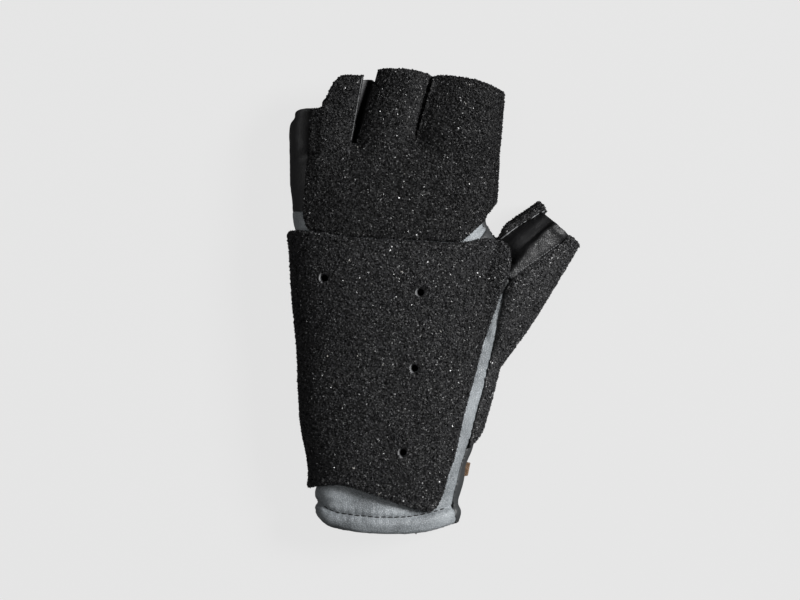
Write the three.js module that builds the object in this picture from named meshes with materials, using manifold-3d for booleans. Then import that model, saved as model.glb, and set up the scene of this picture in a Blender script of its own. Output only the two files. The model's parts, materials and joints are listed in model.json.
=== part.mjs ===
// A fingerless target-shooting glove for the left hand, lying palm down.
// Millimetres: +X towards the thumb, +Y towards the fingertips, +Z up, away from the palm.
// The origin is on the surface that the glove lies on, under the middle of its outline.
import * as THREE from "three";
import { mergeVertices } from "three/addons/utils/BufferGeometryUtils.js";
import Module from "manifold-3d";

const wasm = await Module();
wasm.setup();

// Sheet thicknesses and the gap that separate pieces keep.
const LEATHER = 1.8;
const HEM = 2 * LEATHER;
const GRIP = 3;
const BACK_GRIP = 4;
const GAP = 0.3;
const WELD = 0.06;

// Where the glove is divided along its length.
const WRIST_END = -112;
const HEM_TOP = -92;
const WEB = 72;
const FINGER_ROOT = 58;
const BEYOND_TIPS = 112;
const LITTLE_SIDE_START = 41.2;

// Side seam height on the little-finger side, and how high the palm sheet turns up.
const SIDE_SEAM = 10;
const PALM_TURN_UP = 8;
const THUMB_TURN_UP = 15;
const FINGER_TURN_DOWN = 11;
const BACK_TURN_DOWN = 10;
const THUMB_TURN_DOWN = 8.5;
const SKY = 60;

// The thumb leaves the hand at this angle from +X, and its stall starts this far along.
const THUMB_ANGLE = THREE.MathUtils.degToRad(48);
const THUMB_STALL_START = 31;
const THUMB_STALL_SIDE = 29.3;
const THUMB_END = 63.6;

const VENT_RADIUS = 2;

// Superellipse powers of the rounded back and of the flatter underside.
const BACK_POWER = 2.3;
const PALM_POWER = 4;
const PALM_DROP = 1.12;
const WIDEST_SHARE = 0.45;

function table(columns, rows) {
  return rows.map((row) => Object.fromEntries(columns.map((name, i) => [name, row[i]])));
}

const SECTION = ["along", "left", "right", "top", "bottom"];

// Outer face of the leather round the wrist and the hand, from the wrist edge to the web.
const BODY = table(SECTION, [
  [-112, -52.0, 10.0, 26.0, 0.6],
  [-105, -53.4, 11.2, 27.6, 0.4],
  [-98, -54.2, 12.0, 28.4, 0.4],
  [-92, -53.0, 11.2, 27.0, 1.0],
  [-84, -53.6, 12.6, 28.6, 1.8],
  [-75, -54.8, 14.6, 29.8, 2.9],
  [-68, -55.6, 16.6, 30.4, 3.3],
  [-61, -56.5, 18.4, 31.0, 3.3],
  [-40, -58.3, 25.8, 32.4, 3.3],
  [-20, -59.6, 29.4, 33.4, 3.3],
  [0, -61.6, 29.3, 34.2, 3.3],
  [15, -62.6, 29.3, 34.4, 3.3],
  [30, -63.4, 28.2, 33.8, 3.3],
  [44, -64.4, 26.2, 32.6, 3.3],
  [56, -65.3, 27.1, 31.4, 3.3],
  [64, -65.4, 27.5, 30.4, 3.3],
  [72, -65.2, 27.6, 26.6, 3.3],
]);

// Outer face of each finger stall. They lean towards the thumb and end at the cut tips.
const FINGERS = {
  little: table(SECTION, [
    [58, -65.2, -53.0, 21.0, 3.3],
    [71, -65.6, -52.4, 25.6, 3.3],
    [90, -64.6, -51.8, 22.5, 3.3],
    [112, -63.0, -51.4, 20.0, 3.3],
  ]),
  ring: table(SECTION, [
    [58, -51.9, -39.6, 26.6, 3.3],
    [71, -51.6, -36.6, 28.8, 3.3],
    [90, -51.2, -31.0, 27.2, 3.3],
    [112, -51.0, -25.1, 24.6, 3.3],
  ]),
  middle: table(SECTION, [
    [58, -38.2, -12.6, 29.0, 3.3],
    [71, -35.6, -9.2, 30.4, 3.3],
    [90, -29.8, -3.8, 28.8, 3.3],
    [112, -24.2, 1.8, 25.8, 3.3],
  ]),
  index: table(SECTION, [
    [58, -11.2, 26.8, 28.0, 3.3],
    [71, -8.0, 28.0, 29.6, 3.3],
    [90, -2.8, 29.4, 27.4, 3.3],
    [112, 3.0, 30.4, 24.0, 3.3],
  ]),
};

// Outer face of the thumb stall, along its own axis from the origin of the hand.
const THUMB = table(SECTION, [
  [-8, 8.0, 40.0, 25.6, 3.3],
  [8, 4.0, 38.9, 27.4, 3.3],
  [28, 0.6, 36.4, 28.0, 3.3],
  [42, 4.4, 33.7, 27.0, 3.3],
  [55, 7.3, 31.3, 25.6, 3.3],
  [66, 9.5, 29.2, 24.2, 3.3],
  [74, 11.0, 28.0, 23.4, 3.3],
]);

const CORNER = ["x", "y", "round"];

// Cut edge of the wrist seen from above, closed far past the fingertips.
const WRIST_CUT = table(CORNER, [
  [-80, -88, 0],
  [-56, -93, 2],
  [-52.8, -100.4, 3],
  [-45.5, -104.8, 5],
  [-30, -106.8, 8],
  [-7, -106.6, 8],
  [10.6, -101.4, 2],
  [16, -98, 0],
  [90, -98, 0],
  [90, 130, 0],
  [-80, 130, 0],
]);

// The back leather reaches from the little-finger side to the seam beside the thumb.
const BACK_LEATHER = table(CORNER, [
  [-80, -120, 0],
  [10.4, -120, 0],
  [10.3, -101.4, 0],
  [8.7, -94.5, 3],
  [8.7, -90.0, 6],
  [12.6, -74.5, 20],
  [20.6, -52.0, 20],
  [26.5, -32.0, 20],
  [33.0, 2.0, 10],
  [31.0, 15.0, 8],
  [24.4, 33.0, 8],
  [24.4, 90.0, 0],
  [-80, 90, 0],
]);

// Smooth side of the little finger, down to the back of the hand.
const LITTLE_SIDE = table(CORNER, [
  [-80, LITTLE_SIDE_START, 0],
  [-53.9, LITTLE_SIDE_START, 0],
  [-53.9, WEB + GAP / 2, 0],
  [-51.65, WEB + GAP / 2, 0],
  [-51.65, 130, 0],
  [-80, 130, 0],
]);

// Ends of the finger stalls, a little short of the grip that covers them.
const STALL_ENDS = table(CORNER, [
  [-80, 0, 0],
  [80, 0, 0],
  [36, 92.0, 0],
  [16, 100.6, 16],
  [0.4, 102.4, 0],
  [-10, 104.8, 8],
  [-26.5, 102.2, 0],
  [-38, 101.2, 3],
  [-51.5, 92.0, 4],
  [-51.7, 88.4, 0],
  [-62.6, 88.8, 3],
  [-67.0, 80.0, 6],
  [-80, 74, 0],
]);

// Crumb-rubber sheet over the knuckles and fingers.
const FINGER_GRIP = table(CORNER, [
  [-57.4, 33.2, 1],
  [-38.0, 31.2, 20],
  [12.9, 29.4, 1],
  [23.6, 35.2, 1],
  [24.6, 39.6, 3],
  [30.4, 47.5, 5],
  [38.0, 56.0, 0],
  [38.0, 93.0, 0],
  [33.0, 96.0, 1.5],
  [22.0, 101.4, 8],
  [6.0, 105.0, 8],
  [0.5, 103.6, 0.5],
  [-6.0, 107.0, 5],
  [-20.0, 107.6, 4],
  [-26.0, 105.6, 1],
  [-32.2, 103.6, 1],
  [-44.4, 104.2, 5],
  [-48.8, 94.0, 5],
  [-51.0, 88.2, 0.5],
  [-56.1, 88.0, 0.5],
  [-56.6, 74.0, 10],
  [-58.8, 51.0, 10],
  [-60.0, 41.0, 4],
]);

// Slits between the fingers, from the tip to the web, each wider at the tip.
const SLITS = table(["tipX", "rootX", "rootY", "tipWidth", "rootWidth"], [
  [-51.6, -52.1, 70.0, 0.9, 0.6],
  [-29.3, -36.4, 70.5, 5.6, 2.4],
  [0.5, -8.5, 72.0, 0.9, 0.6],
]);

// Thicker sheet on the back of the hand, narrowing towards the wrist.
const BACK_GRIP_EDGE = table(CORNER, [
  [-72.0, 25.5, 0],
  [-63.6, 32.2, 5],
  [-52.0, 32.2, 10],
  [-38.0, 30.2, 20],
  [12.9, 28.2, 6],
  [24.8, 31.0, 5],
  [35.4, 27.0, 4],
  [35.6, 17.0, 8],
  [29.2, -5.0, 30],
  [6.6, -88.5, 4],
  [1.6, -96.6, 3.5],
  [-10.0, -94.4, 12],
  [-40.5, -83.4, 12],
  [-52.9, -84.3, 4],
  [-57.4, -86.2, 2],
  [-70.0, -82.0, 0],
]);

// Vent holes through the back sheet.
const VENTS = table(["x", "y"], [
  [-49.8, 10.7],
  [-6.0, 4.1],
  [-8.7, -30.4],
  [-14.0, -68.9],
]);

// Sheet over the outer side of the thumb and its root.
const THUMB_GRIP = table(CORNER, [
  [17.6, -64.4, 1],
  [19.6, -49.9, 10],
  [24.6, -32.0, 20],
  [28.5, -14.5, 20],
  [32.2, 3.4, 10],
  [36.2, 12.0, 2],
  [60.1, 29.0, 0],
  [62.1, 31.2, 0.5],
  [68.0, 25.0, 1],
  [80.0, 10.0, 0],
  [50.0, -40.0, 0],
  [26.0, -62.0, 0],
]);

// Palm sheet, kept inside the outline seen from above.
const PALM_GRIP = table(CORNER, [
  [-47.0, -61.0, 6],
  [10.0, -61.0, 6],
  [20.5, -40.0, 10],
  [33.0, -18.0, 10],
  [33.0, 22.0, 4],
  [22.0, 40.0, 6],
  [22.0, 62.0, 5],
  [-59.0, 62.0, 5],
  [-57.0, 10.0, 20],
]);

// The palm sheet's tongue under the thumb, turned up on the side that faces the index finger.
const THUMB_TONGUE = table(CORNER, [
  [28.0, 4.0, 0],
  [29.4, 28.0, 0],
  [33.0, 34.0, 0],
  [44.6, 53.2, 0],
  [53.2, 41.4, 1],
  [63.4, 30.0, 2],
  [60.0, 20.0, 3],
  [38.0, -12.0, 6],
]);

// Small folded tab in the side seam of the wrist.
const TAB = { x: 12.9, y: -76.4, z: 13, out: 4.4, long: 6, thick: 1.6, turn: -0.16 };

function signedPower(value, power) {
  return Math.sign(value) * Math.abs(value) ** power;
}

// A tube or solid along +Y whose sections follow the rows, grown outwards by grow(along).
function loft(rows, { grow, from, to, around, steps }) {
  const columns = ["left", "right", "top", "bottom"];
  const section = new THREE.CubicInterpolant(
    rows.map((row) => row.along),
    rows.flatMap((row) => columns.map((name) => row[name])),
    columns.length,
  );
  const geometry = new THREE.CylinderGeometry(1, 1, 1, around, steps);
  const position = geometry.getAttribute("position");
  for (let i = 0; i < position.count; i++) {
    const along = THREE.MathUtils.lerp(from, to, position.getY(i) + 0.5);
    const [left, right, top, bottom] = section.evaluate(along);
    const offset = grow(along);
    const angle = Math.atan2(position.getZ(i), position.getX(i));
    const radius = Math.hypot(position.getX(i), position.getZ(i));
    const widest = THREE.MathUtils.lerp(bottom, top, WIDEST_SHARE);
    const power = 2 / (angle < 0 ? PALM_POWER : BACK_POWER);
    const reach = ((right - left) / 2 + offset) * signedPower(Math.cos(angle), power);
    const rise = signedPower(Math.sin(angle), power);
    const above = top + offset - widest;
    const below = widest - bottom + offset;
    const lift = rise > 0 ? above * rise : Math.max(below * PALM_DROP * rise, -below);
    position.setXYZ(i, (left + right) / 2 + radius * reach, along, widest + radius * lift);
  }
  return geometry;
}

function toSolid(geometry) {
  geometry.deleteAttribute("normal");
  geometry.deleteAttribute("uv");
  const merged = mergeVertices(geometry, 1e-4);
  const mesh = new wasm.Mesh({
    numProp: 3,
    vertProperties: merged.getAttribute("position").array,
    triVerts: new Uint32Array(merged.index.array),
  });
  return new wasm.Manifold(mesh);
}

// A closed outline through the corners, each rounded over the length in its round column.
function roundedShape(corners) {
  const points = corners.map((corner) => new THREE.Vector2(corner.x, corner.y));
  const shape = new THREE.Shape();
  points.forEach((point, i) => {
    const before = points.at(i - 1);
    const after = points[(i + 1) % points.length];
    const room = Math.min(point.distanceTo(before), point.distanceTo(after)) / 2.05;
    const round = Math.min(corners[i].round, room);
    const start = point.clone().lerp(before, round / point.distanceTo(before));
    const end = point.clone().lerp(after, round / point.distanceTo(after));
    if (i === 0) shape.moveTo(start.x, start.y);
    else shape.lineTo(start.x, start.y);
    if (round > 0) shape.quadraticCurveTo(point.x, point.y, end.x, end.y);
  });
  shape.closePath();
  return shape;
}

function prism(corners, low, high) {
  const shape = roundedShape(corners);
  const options = { depth: high - low, bevelEnabled: false, curveSegments: 2 };
  return toSolid(new THREE.ExtrudeGeometry(shape, options).translate(0, 0, low));
}

// The glove's smooth outer skin, grown outwards by the offset: hand, fingers and thumb in one.
function skin(offset) {
  const grow = () => offset;
  const hand = { grow, from: WRIST_END, to: WEB, around: 30, steps: 16 };
  const finger = { grow, from: FINGER_ROOT, to: BEYOND_TIPS, around: 16, steps: 4 };
  const thumb = { grow, from: THUMB[0].along, to: THUMB.at(-1).along, around: 22, steps: 5 };
  return joined([
    toSolid(loft(BODY, hand)),
    ...Object.values(FINGERS).map((rows) => toSolid(loft(rows, finger))),
    toSolid(loft(THUMB, thumb).rotateZ(THUMB_ANGLE - Math.PI / 2)),
  ]);
}

// The hollow for the hand, open at the wrist and at every tip.
function hollow() {
  const grow = (along) => (along < HEM_TOP ? -HEM : -LEATHER);
  const hand = { grow, from: WRIST_END - 1, to: WEB - LEATHER, around: 22, steps: 10 };
  const finger = { grow, from: FINGER_ROOT, to: BEYOND_TIPS + 1, around: 12, steps: 2 };
  const thumb = { grow, from: 4, to: THUMB.at(-1).along + 1, around: 16, steps: 4 };
  return joined([
    toSolid(loft(BODY, hand)),
    ...Object.values(FINGERS).map((rows) => toSolid(loft(rows, finger))),
    toSolid(loft(THUMB, thumb).rotateZ(THUMB_ANGLE - Math.PI / 2)),
  ]);
}

function joined(solids) {
  return solids.reduce((all, solid) => all.add(solid));
}

// Corners closer together than WELD become one, so that the cuts leave no needle-thin facets.
function welded(solid) {
  const { vertProperties, triVerts } = solid.getMesh();
  const corner = (i) => new THREE.Vector3().fromArray(vertProperties, 3 * i);
  const stands = Array.from({ length: vertProperties.length / 3 }, (_, i) => i);
  const find = (i) => (stands[i] === i ? i : find(stands[i]));
  for (let t = 0; t < triVerts.length; t += 3) {
    for (const [a, b] of [[0, 1], [1, 2], [2, 0]]) {
      const i = find(triVerts[t + a]);
      const j = find(triVerts[t + b]);
      if (i !== j && corner(i).distanceTo(corner(j)) < WELD) stands[j] = i;
    }
  }
  const kept = [];
  for (let t = 0; t < triVerts.length; t += 3) {
    const [a, b, c] = triVerts.subarray(t, t + 3).values().map(find);
    if (a !== b && b !== c && c !== a) kept.push(a, b, c);
  }
  const mesh = new wasm.Mesh({ numProp: 3, vertProperties, triVerts: new Uint32Array(kept) });
  return new wasm.Manifold(mesh);
}

// The largest of the bodies that a cut leaves, without any crumbs.
function mainBody(solid) {
  const bodies = solid.decompose();
  return bodies.reduce((best, body) => (body.volume() > best.volume() ? body : best));
}

function box(min, max) {
  const size = new THREE.Vector3().subVectors(max, min);
  const centre = new THREE.Vector3().addVectors(min, max).multiplyScalar(0.5);
  return new THREE.BoxGeometry(size.x, size.y, size.z).translate(centre.x, centre.y, centre.z);
}

// Everything further along the thumb than the start.
function alongThumb(start) {
  const min = new THREE.Vector3(-120, start, -1);
  const max = new THREE.Vector3(120, 160, SKY);
  return toSolid(box(min, max).rotateZ(THUMB_ANGLE - Math.PI / 2));
}

// Everything across a length of the hand.
function acrossHand(fromX, fromY, toY) {
  return toSolid(box(new THREE.Vector3(fromX, fromY, -1), new THREE.Vector3(120, toY, SKY)));
}

function slitCutter(slit) {
  const tipY = 125;
  const share = (tipY - slit.rootY) / (103.5 - slit.rootY);
  const tipX = THREE.MathUtils.lerp(slit.rootX, slit.tipX, share);
  const tipHalf = THREE.MathUtils.lerp(slit.rootWidth, slit.tipWidth, share) / 2;
  const corners = table(CORNER, [
    [slit.rootX - slit.rootWidth / 2, slit.rootY, 0],
    [slit.rootX + slit.rootWidth / 2, slit.rootY, 0],
    [tipX + tipHalf, tipY, 0],
    [tipX - tipHalf, tipY, 0],
  ]);
  return prism(corners, -1, SKY);
}

const shell = skin(0).subtract(hollow()).intersect(prism(WRIST_CUT, -1, SKY));
const gripSpace = skin(GAP);
const sheet = skin(GRIP + GAP).subtract(gripSpace);
const thickSheet = skin(BACK_GRIP + GAP).subtract(gripSpace);

const littleRegion = prism(LITTLE_SIDE, -1, SKY);
const littleRegionGrown = littleRegion.add(littleRegion.translate([GAP, -GAP, 0]));
const thumbSide = acrossHand(THUMB_STALL_SIDE, -120, WEB - GAP / 2);
const thumbSideGrown = acrossHand(THUMB_STALL_SIDE - GAP, -120, WEB - GAP / 2);
const thumbStallRegion = alongThumb(THUMB_STALL_START).intersect(thumbSide);
const thumbStallGrown = alongThumb(THUMB_STALL_START - GAP).intersect(thumbSideGrown);
const backRegion = prism(BACK_LEATHER, SIDE_SEAM, SKY);
const backRegionGrown = backRegion
  .add(backRegion.translate([GAP, 0, 0]))
  .add(backRegion.translate([0, 0, -GAP]));
const handLength = acrossHand(-120, -120, WEB - GAP / 2);
const fingerLength = acrossHand(-120, WEB + GAP / 2, 130);

const hand = shell.intersect(handLength).subtract(littleRegionGrown).subtract(thumbStallGrown);
const fingers = shell.intersect(fingerLength).intersect(prism(STALL_ENDS, -1, SKY));
const [ringStall, middleStall, indexStall] = fingers
  .subtract(littleRegionGrown)
  .decompose()
  .filter((body) => body.volume() > 100)
  .sort((a, b) => a.boundingBox().min[0] - b.boundingBox().min[0]);

function littleStall() {
  const whole = shell.intersect(littleRegion).intersect(prism(STALL_ENDS, -1, SKY));
  return mainBody(whole);
}

function thumbStall() {
  return mainBody(shell.intersect(thumbStallRegion).subtract(alongThumb(THUMB_END)));
}

function fingerGrip() {
  const cut = joined(SLITS.map(slitCutter));
  return mainBody(sheet.intersect(prism(FINGER_GRIP, FINGER_TURN_DOWN, SKY)).subtract(cut));
}

function backGrip() {
  const vents = VENTS.map((vent) => {
    const drill = new THREE.CylinderGeometry(VENT_RADIUS, VENT_RADIUS, SKY, 12);
    return toSolid(drill.rotateX(Math.PI / 2).translate(vent.x, vent.y, SKY / 2));
  });
  const whole = thickSheet.intersect(prism(BACK_GRIP_EDGE, BACK_TURN_DOWN, SKY));
  const aboveTongue = whole.subtract(prism(THUMB_TONGUE, -1, THUMB_TURN_UP + GAP));
  return mainBody(aboveTongue.subtract(joined(vents)));
}

function thumbGrip() {
  return mainBody(sheet.intersect(prism(THUMB_GRIP, THUMB_TURN_DOWN, SKY)));
}

function palmGrip() {
  const palm = prism(PALM_GRIP, -1, PALM_TURN_UP);
  const tongue = prism(THUMB_TONGUE, -1, THUMB_TURN_UP);
  return mainBody(sheet.intersect(palm.add(tongue)));
}

function sideTab() {
  const rounding = TAB.thick / 2;
  const corners = table(CORNER, [
    [0, -TAB.long / 2, 0],
    [TAB.out, -TAB.long / 2, rounding],
    [TAB.out, TAB.long / 2, rounding],
    [0, TAB.long / 2, 0],
  ]);
  return prism(corners, -TAB.thick / 2, TAB.thick / 2)
    .rotate([0, 0, THREE.MathUtils.radToDeg(TAB.turn)])
    .translate([TAB.x, TAB.y, TAB.z])
    .subtract(gripSpace);
}

function material(color, roughness) {
  return new THREE.MeshStandardMaterial({ color, roughness, metalness: 0 });
}

const crumbRubber = material(0x1c1c1d, 0.75);
const smoothLeather = material(0x1e1e20, 0.45);
const lightLeather = material(0x8a9195, 0.5);
const darkLeather = material(0x484a4c, 0.55);
const tanRibbon = material(0x8a6a45, 0.8);

function toMesh(name, solid, finish) {
  const { vertProperties, triVerts } = welded(solid).getMesh();
  const geometry = new THREE.BufferGeometry()
    .setAttribute("position", new THREE.BufferAttribute(vertProperties, 3))
    .setIndex(new THREE.BufferAttribute(triVerts, 1))
    .toNonIndexed();
  geometry.computeVertexNormals();
  const mesh = new THREE.Mesh(geometry, finish);
  mesh.name = name;
  return mesh;
}

const glove = new THREE.Group();
glove.add(
  toMesh("back_leather", mainBody(hand.intersect(backRegion)), lightLeather),
  toMesh("palm_leather", mainBody(hand.subtract(backRegionGrown)), darkLeather),
  toMesh("little_finger_stall", littleStall(), smoothLeather),
  toMesh("ring_finger_stall", ringStall, smoothLeather),
  toMesh("middle_finger_stall", middleStall, smoothLeather),
  toMesh("index_finger_stall", indexStall, smoothLeather),
  toMesh("thumb_stall", thumbStall(), smoothLeather),
  toMesh("finger_grip", fingerGrip(), crumbRubber),
  toMesh("back_grip", backGrip(), crumbRubber),
  toMesh("thumb_grip", thumbGrip(), crumbRubber),
  toMesh("palm_grip", palmGrip(), crumbRubber),
  toMesh("side_tab", sideTab(), tanRibbon),
);

// The frame's origin is under the middle of the outline.
const outline = new THREE.Box3().setFromObject(glove);
const middle = outline.getCenter(new THREE.Vector3());
glove.position.set(-middle.x, -middle.y, -outline.min.z);

export default glove;
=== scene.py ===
"""A fingerless target-shooting glove for the left hand, lying palm down.

Leather pieces, crumb-rubber grip sheets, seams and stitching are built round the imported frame.
Tables and sizes are in millimetres, in the glove's own frame, and the meshes are in metres.
"""

import json
import logging
import math
from collections.abc import Callable, Sequence
from dataclasses import dataclass, field
from enum import Enum

import bpy
import numpy as np
from mathutils import Euler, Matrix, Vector, noise
from mathutils.bvhtree import BVHTree

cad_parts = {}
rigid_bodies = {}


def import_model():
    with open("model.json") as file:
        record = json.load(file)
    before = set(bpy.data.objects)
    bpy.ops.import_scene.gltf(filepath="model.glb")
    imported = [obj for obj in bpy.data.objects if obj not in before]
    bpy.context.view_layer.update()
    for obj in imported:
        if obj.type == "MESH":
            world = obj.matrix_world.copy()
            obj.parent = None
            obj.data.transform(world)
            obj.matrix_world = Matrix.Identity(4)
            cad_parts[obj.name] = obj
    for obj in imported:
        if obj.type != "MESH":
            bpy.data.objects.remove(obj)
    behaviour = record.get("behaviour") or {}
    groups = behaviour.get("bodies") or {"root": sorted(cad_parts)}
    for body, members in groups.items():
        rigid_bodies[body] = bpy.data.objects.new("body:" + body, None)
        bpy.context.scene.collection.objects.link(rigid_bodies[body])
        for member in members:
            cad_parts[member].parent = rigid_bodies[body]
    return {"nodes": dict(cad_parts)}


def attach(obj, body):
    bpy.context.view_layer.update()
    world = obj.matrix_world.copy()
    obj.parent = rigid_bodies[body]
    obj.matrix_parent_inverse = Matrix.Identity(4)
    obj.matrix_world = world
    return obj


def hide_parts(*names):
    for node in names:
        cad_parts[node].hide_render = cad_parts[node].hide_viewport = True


LOG = logging.getLogger("glove")

Rows = Sequence[Sequence[float]]
Array = np.ndarray
Colour = tuple[float, float, float]

MM = 0.001

# Thickness of the leather, of the rolled hem and of the rubber sheets, and the gap between pieces.
LEATHER = 1.8
HEM = 3.6
GRIP = 3.0
BACK_GRIP = 4.0
GAP = 0.3

# Where the leather pieces part: the web of the fingers, the side seam, and the thumb's stall.
WEB = 72.0
SIDE_SEAM = 10.0
THUMB_TURN = math.radians(48 - 90)
THUMB_STALL_START = 31.0
THUMB_STALL_SIDE = 29.3
THUMB_END = 64.3

# The tubes run from here to here, and cutting shapes reach past all of them.
WRIST_END = -112.0
FINGER_START = 58.0
TIP_END = 112.0
BELOW = -2.0
SKY = 60.0
FAR = 120.0

# How square a section is above and below, how far its underside drops, and where it is widest.
BACK_POWER = 2.3
PALM_POWER = 4.0
PALM_DROP = 1.12
WIDEST_SHARE = 0.45

# X and Y of the vent holes, and the height of the middle of the drill.
VENTS = ((-49.8, 10.7), (-6.0, 4.1), (-8.7, -30.4), (-14.0, -68.9))
DRILL_HEIGHT = 45.0

# Where a slit's tip width is given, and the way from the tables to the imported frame.
SLIT_TIP_Y = 103.5
TABLE_TO_FRAME = (0.079, -0.367, 0.0)


class Cut(Enum):
    """How one closed shape works on another."""

    COMMON = "INTERSECT"
    AWAY = "DIFFERENCE"
    JOINED = "UNION"


class Look(Enum):
    """The finishes, by the name of their material."""

    LIGHT_LEATHER = "light_leather"
    DARK_LEATHER = "dark_leather"
    # Painted light: the finger stalls' black leather is a lighter copy of the gusset's, brightening the
    # shaded little finger's stall.
    SMOOTH_LEATHER = "smooth_leather"
    # Painted shade: the gusset's black leather is a darker, more mottled copy of the stalls', standing in
    # for the shade on the thumb's gusset.
    GUSSET_LEATHER = "gusset_leather"
    CRUMB_RUBBER = "crumb_rubber"
    # Painted shade: the finger sheet's crumb rubber is a darker copy of the back's, standing in for the
    # shade over the fingers.
    FINGER_CRUMB = "finger_crumb"
    # Painted light: the thumb sheet's crumb rubber is a lighter copy of the back's, standing in for the
    # light on the thumb.
    THUMB_CRUMB = "thumb_crumb"
    TAN_RIBBON = "tan_ribbon"
    BLACK_THREAD = "black_thread"
    PALE_BACKING = "pale_backing"
    CUT_RUBBER = "cut_rubber"
    PALE_FLOOR = "pale_floor"


def only(*objects: bpy.types.Object) -> None:
    """Selects these objects alone and makes the first one active.

    Args:
        objects: the objects to select.
    """
    if bpy.context.object and bpy.context.object.mode != "OBJECT":
        bpy.ops.object.mode_set(mode="OBJECT")
    bpy.ops.object.select_all(action="DESELECT")
    for thing in objects:
        thing.select_set(True)
    bpy.context.view_layer.objects.active = objects[0]


def edit_all(thing: bpy.types.Object) -> None:
    """Opens an object in edit mode with everything selected.

    Args:
        thing: the object to edit.
    """
    only(thing)
    bpy.ops.object.mode_set(mode="EDIT")
    bpy.ops.mesh.select_all(action="SELECT")


def discard(thing: bpy.types.Object) -> None:
    """Removes an object and its mesh.

    Args:
        thing: the object that goes.
    """
    mesh = thing.data
    bpy.data.objects.remove(thing)
    bpy.data.meshes.remove(mesh)


def twin(thing: bpy.types.Object, name: str) -> bpy.types.Object:
    """Copies an object with its own mesh.

    Args:
        thing: the object to copy.
        name: the copy's name.

    Returns:
        The copy.
    """
    copy = bpy.data.objects.new(name, thing.data.copy())
    bpy.context.collection.objects.link(copy)
    return copy


def fused(*parts: bpy.types.Object) -> bpy.types.Object:
    """Joins objects into the first one.

    Args:
        parts: the objects to join.

    Returns:
        The first object, with the meshes of all.
    """
    only(*parts)
    bpy.ops.object.join()
    return bpy.context.object


def finish_with(thing: bpy.types.Object, kind: str, **settings: object) -> None:
    """Adds a modifier with these settings and applies it.

    Args:
        thing: the object that the modifier works on.
        kind: the modifier's type name.
        settings: the modifier's properties.
    """
    only(thing)
    modifier = thing.modifiers.new(kind.lower(), kind)
    for key, value in settings.items():
        setattr(modifier, key, value)
    bpy.ops.object.modifier_apply(modifier=modifier.name)


def carve(thing: bpy.types.Object, tool: bpy.types.Object, cut: Cut) -> None:
    """Cuts, keeps or joins with a tool object, which is removed afterwards."""
    finish_with(thing, "BOOLEAN", operation=cut.value, object=tool, solver="MANIFOLD")
    discard(tool)


def remesh(thing: bpy.types.Object, voxel: float, smooth: int = 4) -> None:
    """Rebuilds the surface from voxels and smooths the steps away.

    Args:
        thing: the object to rebuild.
        voxel: the voxel's edge in millimetres.
        smooth: how many smoothing passes follow.
    """
    finish_with(thing, "REMESH", mode="VOXEL", voxel_size=voxel * MM, adaptivity=0.0)
    if smooth:
        finish_with(thing, "SMOOTH", factor=0.5, iterations=smooth)


def largest(piece: bpy.types.Object) -> bpy.types.Object:
    """Keeps the largest loose part of a piece and removes the rest.

    Args:
        piece: the piece as cut.

    Returns:
        The part that stays.
    """
    only(piece)
    bpy.ops.mesh.separate(type="LOOSE")
    parts = sorted(bpy.context.selected_objects, key=lambda part: len(part.data.vertices))
    for part in parts[:-1]:
        discard(part)
    return parts[-1]


def corner_values(thing: bpy.types.Object, key: str) -> Array:
    """Reads three numbers at each corner of a mesh.

    Args:
        thing: the object.
        key: the name of what is read.

    Returns:
        One row for each corner.
    """
    flat = np.empty(3 * len(thing.data.vertices), np.float32)
    thing.data.vertices.foreach_get(key, flat)
    return flat.reshape(-1, 3).astype(float)


def coordinates(thing: bpy.types.Object) -> Array:
    """Gives a mesh's corners in millimetres, one row each."""
    return corner_values(thing, "co") / MM


def normals(thing: bpy.types.Object) -> Array:
    """Gives a mesh's corner normals, one row each."""
    return corner_values(thing, "normal")


def place(thing: bpy.types.Object, points: Array) -> None:
    """Moves a mesh's corners to these points, given in millimetres."""
    thing.data.vertices.foreach_set("co", (points * MM).astype(np.float32).ravel())
    thing.data.update()


def sculpt(thing: bpy.types.Object, depth: Callable[[Array, Array], Array]) -> None:
    """Moves each corner along its normal.

    Args:
        thing: the object to shape.
        depth: gives the way to go in millimetres, from the corners and their normals.
    """
    points, facing = coordinates(thing), normals(thing)
    place(thing, points + facing * depth(points, facing)[:, None])


def lift(thing: bpy.types.Object, rise: Callable[[Array], Array]) -> None:
    """Moves each corner up or down.

    Args:
        thing: the object to shape.
        rise: gives the way up in millimetres, from the corners.
    """
    points = coordinates(thing)
    points[:, 2] += rise(points)
    place(thing, points)


def rest_on_floor(thing: bpy.types.Object) -> None:
    """Flattens whatever would reach below the surface that the glove lies on.

    Args:
        thing: the object to flatten.
    """
    points = coordinates(thing)
    points[:, 2] = np.maximum(points[:, 2], 0.0)
    place(thing, points)


def close_up(thing: bpy.types.Object, threshold: float) -> None:
    """Closes a rolled grid: joins its edges, fills its ends and points its faces out.

    Args:
        thing: the rolled grid.
        threshold: how far apart corners may lie that are joined, in millimetres.
    """
    edit_all(thing)
    bpy.ops.mesh.remove_doubles(threshold=threshold * MM)
    bpy.ops.mesh.fill_holes(sides=0)
    bpy.ops.mesh.normals_make_consistent(inside=False)
    bpy.ops.object.mode_set(mode="OBJECT")


def rolling(points: Array, size: float, seed: float) -> Array:
    """Gives smooth noise between about -1 and 1 at each point.

    Args:
        points: the points in millimetres.
        size: how far apart the noise's hills are, in millimetres.
        seed: moves the pattern, so that two uses differ.

    Returns:
        One number for each point.
    """
    shift = Vector((seed, 2 * seed, -seed))
    return np.array([noise.noise(Vector(p) / size + shift) for p in points])


def uneven(points: Array, layers: Rows) -> Array:
    """Adds up layers of smooth noise, given as rows of height, size and seed."""
    return sum(height * rolling(points, size, seed) for height, size, seed in layers)


def bump(value: Array, centre: float, width: float) -> Array:
    """Gives a bell of height 1 round the centre."""
    return np.exp(-(((value - centre) / width) ** 2))


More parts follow.
